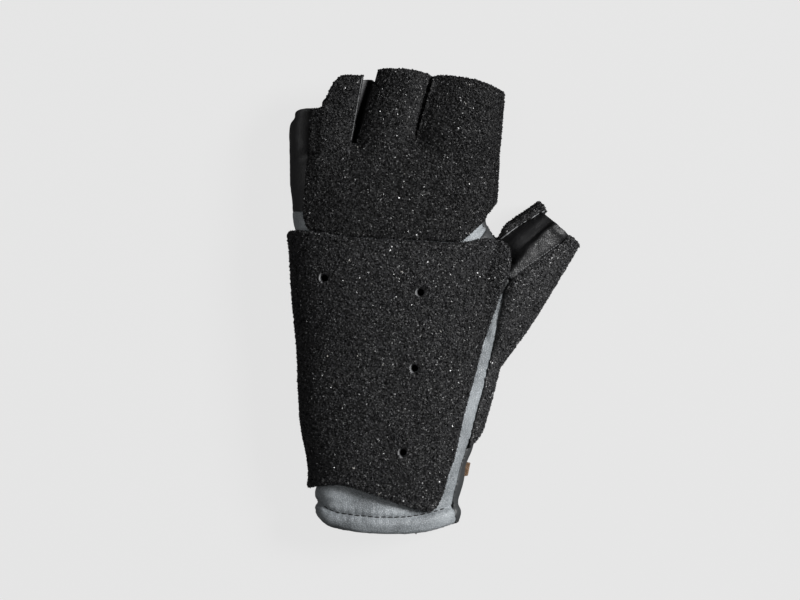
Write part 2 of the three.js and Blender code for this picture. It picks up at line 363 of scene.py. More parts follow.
def smoothstep(low: float, high: float, value: Array) -> Array:
    """Gives 0 below low and 1 above high, with a smooth rise between them."""
    share = np.clip((value - low) / (high - low), 0, 1)
    return share * share * (3 - 2 * share)


def on_line(rows: Rows, at: Array, axis: int = 0) -> Array:
    """Gives the Y of a line at each X, or with axis 1 its X at each Y."""
    table = np.array(rows)
    return np.interp(at, table[:, axis], table[:, 1 - axis])


def off_line(points: Array, corners: Rows) -> Array:
    """Gives how far each point lies from a line of corners, seen from above.

    Args:
        points: the points.
        corners: X and Y of the line's corners.

    Returns:
        One distance for each point, in millimetres.
    """
    rows = np.array(corners, float)
    nearest = np.full(len(points), np.inf)
    for start, end in zip(rows, rows[1:], strict=False):
        step = end - start
        share = np.clip((points[:, :2] - start) @ step / (step @ step), 0, 1)
        away = points[:, :2] - (start + share[:, None] * step)
        nearest = np.minimum(nearest, np.hypot(away[:, 0], away[:, 1]))
    return nearest


def spaced(corners: Rows, pitch: float) -> list[tuple[float, float]]:
    """Gives points along a line of corners, this far apart.

    Args:
        corners: X and Y of the line's corners.
        pitch: from one point to the next.

    Returns:
        X and Y of each point.
    """
    rows = np.array(corners, float)
    run = np.concatenate(((0,), np.cumsum(np.linalg.norm(np.diff(rows, axis=0), axis=1))))
    at = np.arange(0, run[-1] + 1e-6, pitch)
    return list(zip(np.interp(at, run, rows[:, 0]), np.interp(at, run, rows[:, 1]), strict=True))


def along_thumb(points: Array) -> tuple[Array, Array]:
    """Gives how far across and along the thumb each point lies.

    Args:
        points: the points.

    Returns:
        The distances across and those along.
    """
    cosine, sine = math.cos(THUMB_TURN), math.sin(THUMB_TURN)
    across = points[:, 0] * cosine + points[:, 1] * sine
    return across, points[:, 1] * cosine - points[:, 0] * sine


def block(low: Sequence[float], high: Sequence[float], turn: float = 0.0) -> bpy.types.Object:
    """Adds a box between two corners, turned about the origin's +Z.

    Args:
        low: the corner with the lowest X, Y and Z.
        high: the opposite corner.
        turn: the turn in radians.

    Returns:
        The box.
    """
    centre = Vector((np.array(low) + np.array(high)) / 2 * MM)
    size = (np.array(high) - np.array(low)) * MM
    bpy.ops.mesh.primitive_cube_add(size=1, location=centre, scale=size)
    made = bpy.context.object
    bpy.ops.object.transform_apply(location=True, rotation=True, scale=True)
    made.data.transform(Euler((0, 0, turn)).to_matrix().to_4x4())
    return made


def drill(x: float, y: float, radius: float, sides: int) -> bpy.types.Object:
    """Gives the upright round tool of a vent hole.

    Args:
        x: where it stands.
        y: where it stands.
        radius: its radius.
        sides: how many sides it has.

    Returns:
        The tool.
    """
    spot = (x * MM, y * MM, DRILL_HEIGHT * MM)
    bpy.ops.mesh.primitive_cylinder_add(vertices=sides, radius=radius * MM, depth=SKY * MM, location=spot)
    tool = bpy.context.object
    bpy.ops.object.transform_apply(location=True, rotation=True, scale=True)
    return tool


def random_turns(rng: np.random.Generator, number: int) -> Array:
    """Gives evenly spread random turns.

    Args:
        rng: the seeded random source.
        number: how many turns are needed.

    Returns:
        One turning matrix for each.
    """
    q = rng.normal(size=(number, 4))
    w, x, y, z = (q / np.linalg.norm(q, axis=1)[:, None]).T
    rows = (
        (1 - 2 * (y * y + z * z), 2 * (x * y - z * w), 2 * (x * z + y * w)),
        (2 * (x * y + z * w), 1 - 2 * (x * x + z * z), 2 * (y * z - x * w)),
        (2 * (x * z - y * w), 2 * (y * z + x * w), 1 - 2 * (x * x + y * y)),
    )
    return np.array(rows).transpose(2, 0, 1)


@dataclass(frozen=True)
class Tube:
    """A soft tube whose sections are read from a table.

    Attributes:
        rows: along, left, right, top and bottom of each section.
        turn: how far the tube is turned about +Z from +Y.
    """

    rows: Rows
    turn: float = 0.0

    def sections(self, along: Array) -> Array:
        """Reads the table at each station, by a smooth cubic.

        Args:
            along: the stations.

        Returns:
            Left, right, top and bottom at each station.
        """
        table = np.array(self.rows, float)
        keys, values = table[:, 0], table[:, 1:]
        at = np.clip(np.searchsorted(keys, along, side="right"), 1, len(keys) - 1)
        t0, t1 = keys[at - 1], keys[at]
        before = np.where(at > 1, at - 2, at)
        after = np.where(at < len(keys) - 1, at + 1, at - 1)
        t_before = np.where(at > 1, keys[before], 2 * t0 - t1)
        t_after = np.where(at < len(keys) - 1, keys[after], 2 * t1 - t0)
        half = (t1 - t0) / 2
        wp, wn = half / (t0 - t_before), half / (t_after - t1)
        p = (along - t0) / (t1 - t0)
        pp, ppp = p * p, p * p * p
        weights = (
            -wp * ppp + 2 * wp * pp - wp * p,
            (1 + wp) * ppp + (-1.5 - 2 * wp) * pp + (-0.5 + wp) * p + 1,
            (-1 - wn) * ppp + (1.5 + wn) * pp + 0.5 * p,
            wn * ppp - wn * pp,
        )
        parts = (values[before], values[at - 1], values[at], values[after])
        return sum(w[:, None] * v for w, v in zip(weights, parts, strict=True))

    def surface(self, along: Array, angle: Array, offset: Array | float) -> Array:
        """Gives points on the tube's outer face.

        Args:
            along: the station of each point.
            angle: the angle round the section of each point.
            offset: how far outside the table's face each point lies.

        Returns:
            One row of X, Y and Z for each point, in millimetres.
        """
        left, right, top, bottom = self.sections(along).T
        widest = bottom + (top - bottom) * WIDEST_SHARE
        sine, cosine = np.sin(angle), np.cos(angle)
        power = np.where(sine < 0, 2 / PALM_POWER, 2 / BACK_POWER)
        across = np.sign(cosine) * np.abs(cosine) ** power
        rise = np.sign(sine) * np.abs(sine) ** power
        above, below = top + offset - widest, widest - bottom + offset
        height = np.where(rise > 0, above * rise, np.maximum(below * PALM_DROP * rise, -below))
        x = (left + right) / 2 + ((right - left) / 2 + offset) * across
        turn_cos, turn_sin = math.cos(self.turn), math.sin(self.turn)
        turned = (x * turn_cos - along * turn_sin, x * turn_sin + along * turn_cos)
        return np.stack((*turned, widest + height), axis=1)

    def solid(
        self, name: str, stations: Array, around: int, offset: Callable[[Array], Array]
    ) -> bpy.types.Object:
        """Rolls a grid up into the closed tube.

        Args:
            name: the new object's name.
            stations: where along the tube its rings lie.
            around: how many corners a ring has.
            offset: gives how far outside the table's face each station lies.

        Returns:
            The closed tube, with its faces pointing out.
        """
        steps = len(stations) - 1
        bpy.ops.mesh.primitive_grid_add(x_subdivisions=around, y_subdivisions=steps, size=1)
        tube = bpy.context.object
        tube.name = name
        grid = coordinates(tube) * MM + 0.5
        along = stations[np.rint(grid[:, 1] * steps).astype(int)]
        angle = np.rint(grid[:, 0] * around) / around * math.tau
        place(tube, self.surface(along, angle, offset(along)))
        close_up(tube, 0.01)
        return tube


@dataclass(frozen=True)
class Outline:
    """A closed outline seen from above.

    Attributes:
        corners: X and Y of each corner, and the length over which it rounds.
    """

    corners: Rows

    def points(self, bend: int = 6) -> Array:
        """Gives the outline's points.

        Args:
            bend: how many points a rounded corner has.

        Returns:
            X and Y of each point.
        """
        rows = np.array(self.corners, float)
        here = rows[:, :2]
        before, after = np.roll(here, 1, axis=0), np.roll(here, -1, axis=0)
        made = []
        for point, last, following, rounding in zip(here, before, after, rows[:, 2], strict=True):
            to_last, to_next = np.linalg.norm(last - point), np.linalg.norm(following - point)
            reach = min(rounding, min(to_last, to_next) / 2.05)
            start = point + (last - point) * reach / to_last
            end = point + (following - point) * reach / to_next
            for t in np.linspace(0, 1, bend) if reach > 0 else (0.0,):
                made.append((1 - t) ** 2 * start + 2 * t * (1 - t) * point + t * t * end)
        return np.array(made)

    def prism(self, low: float, high: float) -> bpy.types.Object:
        """Raises the outline into a closed block.

        Args:
            low: the height of its lower face.
            high: the height of its upper face.

        Returns:
            The block, with its faces pointing out.
        """
        flat = self.points()
        bpy.ops.mesh.primitive_circle_add(vertices=len(flat), fill_type="NGON")
        raised = bpy.context.object
        place(raised, np.column_stack((flat, np.full(len(flat), low))))
        edit_all(raised)
        bpy.ops.mesh.extrude_region_move(TRANSFORM_OT_translate={"value": (0, 0, (high - low) * MM)})
        bpy.ops.mesh.select_all(action="SELECT")
        bpy.ops.mesh.normals_make_consistent(inside=False)
        bpy.ops.object.mode_set(mode="OBJECT")
        return raised


@dataclass(frozen=True)
class Slit:
    """A narrow wedge that parts two fingers.

    Attributes:
        tip_x: X of its middle at the fingertips.
        root_x: X of its root.
        root_y: Y of its root.
        tip_width: its width at the fingertips.
        root_width: its width at the root.
        end_y: how far out the cutting wedge reaches.
        margin: how far beside the wedge its wall still counts.
        slack: how far behind the root, as a share of its length, its wall still counts.
    """

    tip_x: float
    root_x: float
    root_y: float
    tip_width: float
    root_width: float
    end_y: float = 125.0
    margin: float = 0.15
    slack: float = 0.03

    def share(self, y: Array | float) -> Array | float:
        """Gives how far from the root to the tips each Y lies."""
        return (y - self.root_y) / (SLIT_TIP_Y - self.root_y)

    def middle(self, y: Array | float) -> Array | float:
        """Gives the X of the slit's middle at each Y."""
        return self.root_x + (self.tip_x - self.root_x) * self.share(y)

    def half(self, y: Array | float) -> Array | float:
        """Gives half the slit's width at each Y."""
        return (self.root_width + (self.tip_width - self.root_width) * self.share(y)) / 2

    def wedge(self) -> bpy.types.Object:
        """Builds the wedge that the slit leaves open.

        Returns:
            The wedge, as a closed block.
        """
        corners = []
        for y, sides in ((self.root_y, (-1, 1)), (self.end_y, (1, -1))):
            corners += [(self.middle(y) + side * self.half(y), y, 0) for side in sides]
        return Outline(tuple(corners)).prism(BELOW, SKY)

    def on_wall(self, points: Array) -> Array:
        """Tells which points lie in the slit or on its walls.

        Args:
            points: the points.

        Returns:
            True or false for each point.
        """
        x, y = points[:, 0], points[:, 1]
        beside = np.abs(x - self.middle(y)) < self.half(y) + self.margin
        return beside & (self.share(y) > -self.slack)


RING_SLIT = Slit(-28.9, -36.0, 72.4, 5.8, 2.4)
INDEX_SLIT = Slit(0.3, -8.5, 72.6, 0.5, 0.4)


@dataclass(frozen=True)
class FingerStep:
    """The step at the index finger's slit, where its edge stands up and the middle finger's side sinks.

    Attributes:
        up: how far the index finger's edge stands up.
        up_reach: how far from the slit that has died away.
        down: how far the middle finger's side sinks.
        down_reach: between these distances from the slit it begins to sink.
        from_y: between these Y the step grows.
        from_z: between these heights the step grows.
    """

    up: float = 1.3
    up_reach: float = 9.0
    down: float = 2.0
    down_reach: tuple[float, float] = (-10.0, -4.0)
    from_y: tuple[float, float] = (71.0, 83.0)
    from_z: tuple[float, float] = (12.0, 18.0)

    def rise(self, points: Array) -> Array:
        """Gives the way up of each point.

        Args:
            points: the points.

        Returns:
            The rise in millimetres, below 0 where the face sinks.
        """
        off = points[:, 0] - INDEX_SLIT.middle(points[:, 1])
        up = self.up * smoothstep(self.up_reach, 0.0, off) * (off >= 0)
        down = -self.down * smoothstep(*self.down_reach, off) * (off < 0)
        return (up + down) * smoothstep(*self.from_y, points[:, 1]) * smoothstep(*self.from_z, points[:, 2])


HAND = Tube(
    (
        (-112, -52.0, 10.0, 26.0, 0.6), (-105, -53.4, 11.2, 27.6, 0.4), (-98, -54.2, 12.0, 28.4, 0.4),
        (-92, -53.0, 11.2, 27.0, 1.0), (-88, -54.2, 12.4, 27.8, 1.4), (-83, -53.0, 13.8, 28.7, 1.9),
        (-75, -53.1, 15.0, 29.8, 2.9), (-68, -54.3, 17.8, 30.4, 3.3), (-61, -55.8, 19.3, 31.0, 3.3),
        (-40, -57.5, 24.9, 32.4, 3.3), (-20, -58.3, 29.2, 33.4, 3.3), (0, -60.3, 29.3, 34.2, 3.3),
        (15, -61.2, 29.3, 34.4, 3.3), (29, -62.3, 27.8, 33.8, 3.3), (36.5, -64.0, 23.9, 33.2, 3.3),
        (44, -64.7, 25.6, 32.6, 3.3), (56, -65.9, 26.5, 31.4, 3.3), (64, -66.0, 26.9, 30.4, 3.3),
        (72, -65.8, 27.0, 26.6, 3.3),
    )
)
FINGERS = (
    Tube(
        (
            (58, -65.8, -53.0, 21.0, 3.3), (71, -66.2, -52.4, 25.6, 3.3), (78, -66.3, -52.1, 24.6, 3.3),
            (90, -64.8, -51.8, 22.5, 3.3), (112, -63.0, -51.4, 20.0, 3.3),
        )
    ),
    Tube(
        (
            (58, -51.9, -39.6, 26.6, 3.3), (71, -51.6, -36.6, 28.8, 3.3), (90, -51.2, -31.0, 27.2, 3.3),
            (112, -51.0, -25.1, 24.6, 3.3),
        )
    ),
    Tube(
        (
            (58, -38.2, -12.6, 29.0, 3.3), (71, -35.6, -9.2, 30.4, 3.3), (90, -29.8, -3.8, 28.8, 3.3),
            (112, -24.2, 1.8, 25.8, 3.3),
        )
    ),
    Tube(
        (
            (58, -11.2, 26.3, 28.0, 3.3), (71, -8.0, 27.4, 29.6, 3.3), (90, -2.8, 29.0, 27.4, 3.3),
            (112, 3.0, 30.4, 24.0, 3.3),
        )
    ),
)
THUMB = Tube(
    (
        (-8, 8.0, 40.0, 25.6, 3.3), (8, 4.0, 38.9, 27.4, 3.3), (28, 0.6, 36.4, 28.0, 3.3),
        (42, 3.2, 33.7, 27.0, 3.3), (55, 6.1, 31.3, 25.6, 3.3), (66, 8.6, 29.2, 24.2, 3.3),
        (74, 10.0, 28.0, 23.4, 3.3),
    ),
    turn=THUMB_TURN,
)


@dataclass
class Skin:
    """The glove's smooth outer face and the hollow inside it, as closed shapes to cut with.

    Attributes:
        voxel: the voxel's edge when the tubes are fused.
        hem_ends: between these Y the wall goes from the hem's thickness to the leather's.
        thumb_starts: where the thumb's tube starts, for the outer face and for the hollow.
        thumb_end: where the thumb's tube ends.
        past: how much further the hollow's tubes reach than the outer face's.
        kept: the outer faces built so far, by how far they are grown.
    """

    voxel: float = 1.0
    hem_ends: tuple[float, float] = (-97.0, -91.0)
    thumb_starts: tuple[float, float] = (-8.0, 4.0)
    thumb_end: float = 74.0
    past: float = 1.0
    kept: dict[float, bpy.types.Object] = field(default_factory=dict)

    def _tubes(self, offset: Callable[[Array], Array], inside: bool) -> bpy.types.Object:
        """Fuses the tubes of the hand, the fingers and the thumb.

        Args:
            offset: gives how far outside the tables' face each station lies.
            inside: whether this is the hollow.

        Returns:
            The fused shape.
        """
        end = WEB - LEATHER if inside else WEB
        reach = self.past if inside else 0.0
        made = [HAND.solid("hand", np.linspace(WRIST_END - reach, end, 120), 96, offset)]
        for tube in FINGERS:
            stations = np.linspace(FINGER_START, TIP_END + reach, 40)
            made.append(tube.solid("finger", stations, 48, offset))
        start = self.thumb_starts[1] if inside else self.thumb_starts[0]
        made.append(THUMB.solid("thumb", np.linspace(start, self.thumb_end + reach, 50), 56, offset))
        whole = fused(*made)
        remesh(whole, self.voxel)
        return whole

    def grown(self, offset: float) -> bpy.types.Object:
        """Gives the outer face, grown outwards.

        Args:
            offset: how far it is grown.

        Returns:
            A copy that may be cut.
        """
        if offset not in self.kept:
            whole = self._tubes(lambda along: np.full(along.shape, offset), inside=False)
            whole.hide_render = True
            self.kept[offset] = whole
        return twin(self.kept[offset], "skin")

    def hollow(self) -> bpy.types.Object:
        """Gives the space for the hand, open at the wrist and at every tip."""
        return self._tubes(lambda along: -np.interp(along, self.hem_ends, (HEM, LEATHER)), inside=True)

    def clear(self) -> None:
        """Removes the kept shapes."""
        for thing in self.kept.values():
            discard(thing)
        self.kept.clear()


FLOAT, COLOUR, VECTOR = "NodeSocketFloat", "NodeSocketColor", "NodeSocketVector"


def group_tree(
    name: str, inputs: Sequence[tuple[str, str, object]], outputs: Sequence[tuple[str, str]]
) -> tuple[bpy.types.NodeTree, bpy.types.Node, bpy.types.Node]:
    """Starts a shader node group.

    Args:
        name: the group's name.
        inputs: each input's name, socket type and default.
        outputs: each output's name and socket type.

    Returns:
        The node tree, its input node and its output node.
    """
    tree = bpy.data.node_groups.new(name, "ShaderNodeTree")
    for label, kind, default in inputs:
        socket = tree.interface.new_socket(label, in_out="INPUT", socket_type=kind)
        socket.default_value = default
    for label, kind in outputs:
        tree.interface.new_socket(label, in_out="OUTPUT", socket_type=kind)
    return tree, tree.nodes.new("NodeGroupInput"), tree.nodes.new("NodeGroupOutput")


@dataclass
class Nodes:
    """Adds nodes to a tree and links them, so that a material reads from top to bottom.

    Attributes:
        tree: the node tree.
    """

    tree: bpy.types.NodeTree

    def feed(self, socket: bpy.types.NodeSocket, value: object) -> None:
        """Links an output socket to an input, or sets a plain value on it.

        Args:
            socket: the input socket.
            value: the output socket or the plain value.
        """
        if isinstance(value, bpy.types.NodeSocket):
            self.tree.links.new(value, socket)
        else:
            socket.default_value = value

    def add(
        self, kind: str, links: dict[int | str, object] | None = None, **settings: object
    ) -> bpy.types.Node:
        """Adds a node.

        Args:
            kind: the node's type name.
            links: for each input socket, the output socket or the plain value that it takes.
            settings: the node's properties.

        Returns:
            The new node.
        """
        node = self.tree.nodes.new(kind)
        for key, value in settings.items():
            setattr(node, key, value)
        for key, value in (links or {}).items():
            self.feed(node.inputs[key], value)
        return node

    def math(self, operation: str, a: object, b: object = 0.0) -> bpy.types.NodeSocket:
        """Adds a sum and gives its result."""
        return self.add("ShaderNodeMath", {0: a, 1: b}, operation=operation).outputs[0]

    def vector(self, operation: str, a: object, b: object, output: int | str = 0) -> bpy.types.NodeSocket:
        """Adds a vector sum and gives its result."""
        return self.add("ShaderNodeVectorMath", {0: a, 1: b}, operation=operation).outputs[output]

    def blend(self, share: object, a: object, b: object) -> bpy.types.NodeSocket:
        """Mixes two colours and gives the result."""
        return self.add("ShaderNodeMix", {0: share, 6: a, 7: b}, data_type="RGBA").outputs[2]

    def spread(
        self, value: object, low: float, high: float, to_low: object, to_high: object
    ) -> bpy.types.NodeSocket:
        """Maps a range to another one and gives the result."""
        links = {"Value": value, "From Min": low, "From Max": high, "To Min": to_low, "To Max": to_high}
        return self.add("ShaderNodeMapRange", links).outputs["Result"]


# How many facets of crumb lie along a metre, and the crumb value above which one is a pale stray.
CELL_SCALE = 1850.0
STRAY_FROM = 0.9994


def grain_group() -> bpy.types.NodeTree:
    """Builds the leather grain: pebbles, pores, soft mottling and fine creases.

    Returns:
        The group, which puts out a colour, a roughness and a height.
    """
    tree, start, end = group_tree(
        "leather_grain",
        (
            ("Position", VECTOR, (0, 0, 0)),
            ("Colour", COLOUR, (0.2, 0.2, 0.2, 1)),
            ("Crease Colour", COLOUR, (0.1, 0.1, 0.1, 1)),
            ("Pebble Scale", FLOAT, 900.0),
            ("Mottle", FLOAT, 0.3),
            ("Roughness", FLOAT, 0.45),
        ),
        (("Color", COLOUR), ("Roughness", FLOAT), ("Height", FLOAT)),
    )
    nodes = Nodes(tree)
    at = start.outputs["Position"]
    pebbles = nodes.add(
        "ShaderNodeTexVoronoi", {"Vector": at, "Scale": start.outputs["Pebble Scale"], "Randomness": 1.0},
        feature="DISTANCE_TO_EDGE",
    ).outputs["Distance"]
    fine = nodes.add(
        "ShaderNodeTexNoise", {"Vector": at, "Scale": 2600.0, "Detail": 3.0, "Roughness": 0.6}
    ).outputs["Fac"]
    clouds = nodes.add(
        "ShaderNodeTexNoise", {"Vector": at, "Scale": 70.0, "Detail": 4.0, "Roughness": 0.55}
    ).outputs["Fac"]
    creases = nodes.add(
        "ShaderNodeTexNoise",
        {"Vector": at, "Scale": 230.0, "Detail": 5.0, "Roughness": 0.62, "Distortion": 0.6},
    ).outputs["Fac"]
    valley = nodes.spread(pebbles, 0.0, 0.22, 1.0, 0.0)
    worn = nodes.math("MULTIPLY", nodes.spread(clouds, 0.35, 0.7, 0.0, 1.0), start.outputs["Mottle"])
    darker = nodes.math("ADD", nodes.math("MULTIPLY", valley, 0.45), worn)
    colour = nodes.blend(darker, start.outputs["Colour"], start.outputs["Crease Colour"])
    rough = nodes.math("ADD", start.outputs["Roughness"], nodes.spread(fine, 0.3, 0.7, -0.07, 0.09))
    height = nodes.math("ADD", nodes.math("MULTIPLY", valley, -0.55), nodes.math("MULTIPLY", fine, 0.35))
    height = nodes.math("ADD", height, nodes.math("MULTIPLY", creases, 1.6))
    for socket, name in ((colour, "Color"), (rough, "Roughness"), (height, "Height")):
        tree.links.new(socket, end.inputs[name])
    return tree


def crumb_group() -> bpy.types.NodeTree:
    """Builds the crumb rubber: each crumb has its own shade and gloss, with small tilted facets.

    Returns:
        The group, which puts out a colour, a roughness and a height.
    """
    tree, start, end = group_tree(
        "rubber_crumb",
        (
            ("Position", VECTOR, (0, 0, 0)),
            ("Crumb", FLOAT, 0.5),
            ("Dark", COLOUR, (0.01, 0.01, 0.01, 1)),
            ("Light", COLOUR, (0.03, 0.03, 0.03, 1)),
            ("Stray", COLOUR, (0.3, 0.3, 0.3, 1)),
            ("Dull", FLOAT, 0.8),
            ("Glossy", FLOAT, 0.3),
        ),
        (("Color", COLOUR), ("Roughness", FLOAT), ("Height", FLOAT)),
    )
    nodes = Nodes(tree)
    at = start.outputs["Position"]
    crumb = start.outputs["Crumb"]
    cells = nodes.add("ShaderNodeTexVoronoi", {"Vector": at, "Scale": CELL_SCALE, "Randomness": 1.0})
    scaled = nodes.vector("MULTIPLY", at, (CELL_SCALE, CELL_SCALE, CELL_SCALE))
    offset = nodes.vector("SUBTRACT", scaled, cells.outputs["Position"])
    lean = nodes.vector("SUBTRACT", cells.outputs["Color"], (0.5, 0.5, 0.5))
    facet = nodes.vector("DOT_PRODUCT", offset, lean, "Value")
    chances = nodes.add("ShaderNodeSeparateColor", {"Color": cells.outputs["Color"]}).outputs
    tone = nodes.math("POWER", chances["Green"], 2.2)
    tone = nodes.math("MULTIPLY", tone, nodes.spread(crumb, 0.0, 1.0, 0.6, 1.4))
    colour = nodes.blend(tone, start.outputs["Dark"], start.outputs["Light"])
    stray = nodes.math("GREATER_THAN", crumb, STRAY_FROM)
    colour = nodes.blend(stray, colour, start.outputs["Stray"])
    gloss = nodes.math("POWER", chances["Blue"], 2.0)
    rough = nodes.spread(gloss, 0.0, 1.0, start.outputs["Dull"], start.outputs["Glossy"])
    for socket, name in ((colour, "Color"), (rough, "Roughness"), (facet, "Height")):
        tree.links.new(socket, end.inputs[name])
    return tree


@dataclass(frozen=True)
class Finish:
    """What every finish shares: a new material with a shader to fill.

    Attributes:
        look: which finish this is.
    """

    look: Look

    def start(self) -> tuple[bpy.types.Material, Nodes, bpy.types.Node]:
        """Makes the material.

        Returns:
            The material, its nodes and its shader.
        """
        material = bpy.data.materials.new(self.look.value)
        material.use_nodes = True
        return material, Nodes(material.node_tree), material.node_tree.nodes["Principled BSDF"]

    @staticmethod
    def relief(
        nodes: Nodes, shader: bpy.types.Node, height: bpy.types.NodeSocket, depth: float, strength: float
    ) -> None:
        """Feeds a height to the shader's normal.

        Args:
            nodes: the material's nodes.
            shader: the material's shader.
            height: the socket that gives the height.
            depth: the height of 1 in millimetres.
            strength: how much of the relief shows.
        """
        links = {"Height": height, "Distance": depth * MM, "Strength": strength}
        nodes.feed(shader.inputs["Normal"], nodes.add("ShaderNodeBump", links).outputs["Normal"])


@dataclass(frozen=True)
class LeatherFinish(Finish):
    """Grained leather with a satin face.

    Attributes:
        colour: the leather's colour.
        crease: the colour of its creases and worn clouds.
        roughness: its roughness.
        grain: the leather grain group.
        pebble_scale: how many pebbles lie along a metre.
        mottle: how much the clouds show.
        depth: the grain's depth.
    """

    colour: Colour
    crease: Colour
    roughness: float
    grain: bpy.types.NodeTree
    pebble_scale: float = 1150.0
    mottle: float = 0.25
    depth: float = 0.12

    def material(self) -> bpy.types.Material:
        """Builds the material.

        Returns:
            The material.
        """
        material, nodes, shader = self.start()
        inputs = {
            "Position": nodes.add("ShaderNodeTexCoord").outputs["Object"],
            "Colour": (*self.colour, 1),
            "Crease Colour": (*self.crease, 1),
            "Pebble Scale": self.pebble_scale,
            "Mottle": self.mottle,
            "Roughness": self.roughness,
        }
        surface = nodes.add("ShaderNodeGroup")
        surface.node_tree = self.grain
        for name, value in inputs.items():
            nodes.feed(surface.inputs[name], value)
        nodes.feed(shader.inputs["Base Color"], surface.outputs["Color"])
        nodes.feed(shader.inputs["Roughness"], surface.outputs["Roughness"])
        self.relief(nodes, shader, surface.outputs["Height"], self.depth, 0.6)
        return material


@dataclass(frozen=True)
class CrumbFinish(Finish):
    """Bonded rubber crumb, dull with a few bright faces.

    Attributes:
        dark: the darkest crumbs' colour.
        light: the lightest crumbs' colour.
        crumbs: the crumb rubber group.
        stray: the colour of the few pale crumbs.
        dull: the roughness of the dullest faces.
        glossy: the roughness of the glossiest faces.
        specular: the shader's specular level.
        depth: the facets' depth.
    """

    dark: Colour
    light: Colour
    crumbs: bpy.types.NodeTree
    stray: Colour = (0.3, 0.29, 0.27)
    dull: float = 0.66
    glossy: float = 0.2
    specular: float = 0.5
    depth: float = 0.65

    def material(self) -> bpy.types.Material:
        """Builds the material.

        Returns:
            The material.
        """
        material, nodes, shader = self.start()
        inputs = {
            "Position": nodes.add("ShaderNodeTexCoord").outputs["Object"],
            "Crumb": nodes.add("ShaderNodeAttribute", attribute_name="crumb").outputs["Fac"],
            "Dark": (*self.dark, 1),
            "Light": (*self.light, 1),
            "Stray": (*self.stray, 1),
            "Dull": self.dull,
            "Glossy": self.glossy,
        }
        surface = nodes.add("ShaderNodeGroup")
        surface.node_tree = self.crumbs
        for name, value in inputs.items():
            nodes.feed(surface.inputs[name], value)
        nodes.feed(shader.inputs["Base Color"], surface.outputs["Color"])
        nodes.feed(shader.inputs["Roughness"], surface.outputs["Roughness"])
        shader.inputs["Specular IOR Level"].default_value = self.specular
        self.relief(nodes, shader, surface.outputs["Height"], self.depth, 1.0)
        return material


@dataclass(frozen=True)
class WovenFinish(Finish):
    """Thread or ribbon with fine diagonal yarns.

    Attributes:
        colour: the yarns' colour.
        dark: the colour between the yarns.
        pitch: from one yarn to the next.
        roughness: the roughness between the yarns.
    """

    colour: Colour
    dark: Colour
    pitch: float = 0.5
    roughness: float = 0.8

    def material(self) -> bpy.types.Material:
        """Builds the material.

        Returns:
            The material.
        """
        material, nodes, shader = self.start()
        at = nodes.add("ShaderNodeTexCoord").outputs["Object"]
        links = {"Vector": at, "Scale": 0.3 / (self.pitch * MM), "Distortion": 0.6, "Detail": 1.0}
        yarns = nodes.add("ShaderNodeTexWave", links, bands_direction="DIAGONAL").outputs["Fac"]
        colour = nodes.blend(yarns, (*self.dark, 1), (*self.colour, 1))
        nodes.feed(shader.inputs["Base Color"], colour)
        rough = nodes.spread(yarns, 0.0, 1.0, self.roughness, self.roughness - 0.15)
        nodes.feed(shader.inputs["Roughness"], rough)
        self.relief(nodes, shader, yarns, 0.15, 0.7)
        return material


@dataclass(frozen=True)
class FloorFinish(Finish):
    """Plain pale floor that glows a little, so that shadows on it stay faint.

    Attributes:
        tone: how much light it throws back.
        glow: how much light it gives.
    """

    tone: float
    glow: float

    def material(self) -> bpy.types.Material:
        """Builds the material.

        Returns:
            The material.
        """
        material, _, shader = self.start()
        shader.inputs["Base Color"].default_value = (self.tone, self.tone, self.tone, 1)
        shader.inputs["Roughness"].default_value = 0.9
        shader.inputs["Specular IOR Level"].default_value = 0.0
        shader.inputs["Emission Color"].default_value = (1, 1, 1, 1)
        shader.inputs["Emission Strength"].default_value = self.glow
        return material


@dataclass(frozen=True)
class PlainFinish(Finish):
    """One colour, matt.

    Attributes:
        colour: the colour.
        roughness: the roughness.
    """

    colour: Colour
    roughness: float = 0.8

    def material(self) -> bpy.types.Material:
        """Builds the material.

        Returns:
            The material.
        """
        material, _, shader = self.start()
        shader.inputs["Base Color"].default_value = (*self.colour, 1)
        shader.inputs["Roughness"].default_value = self.roughness
        return material


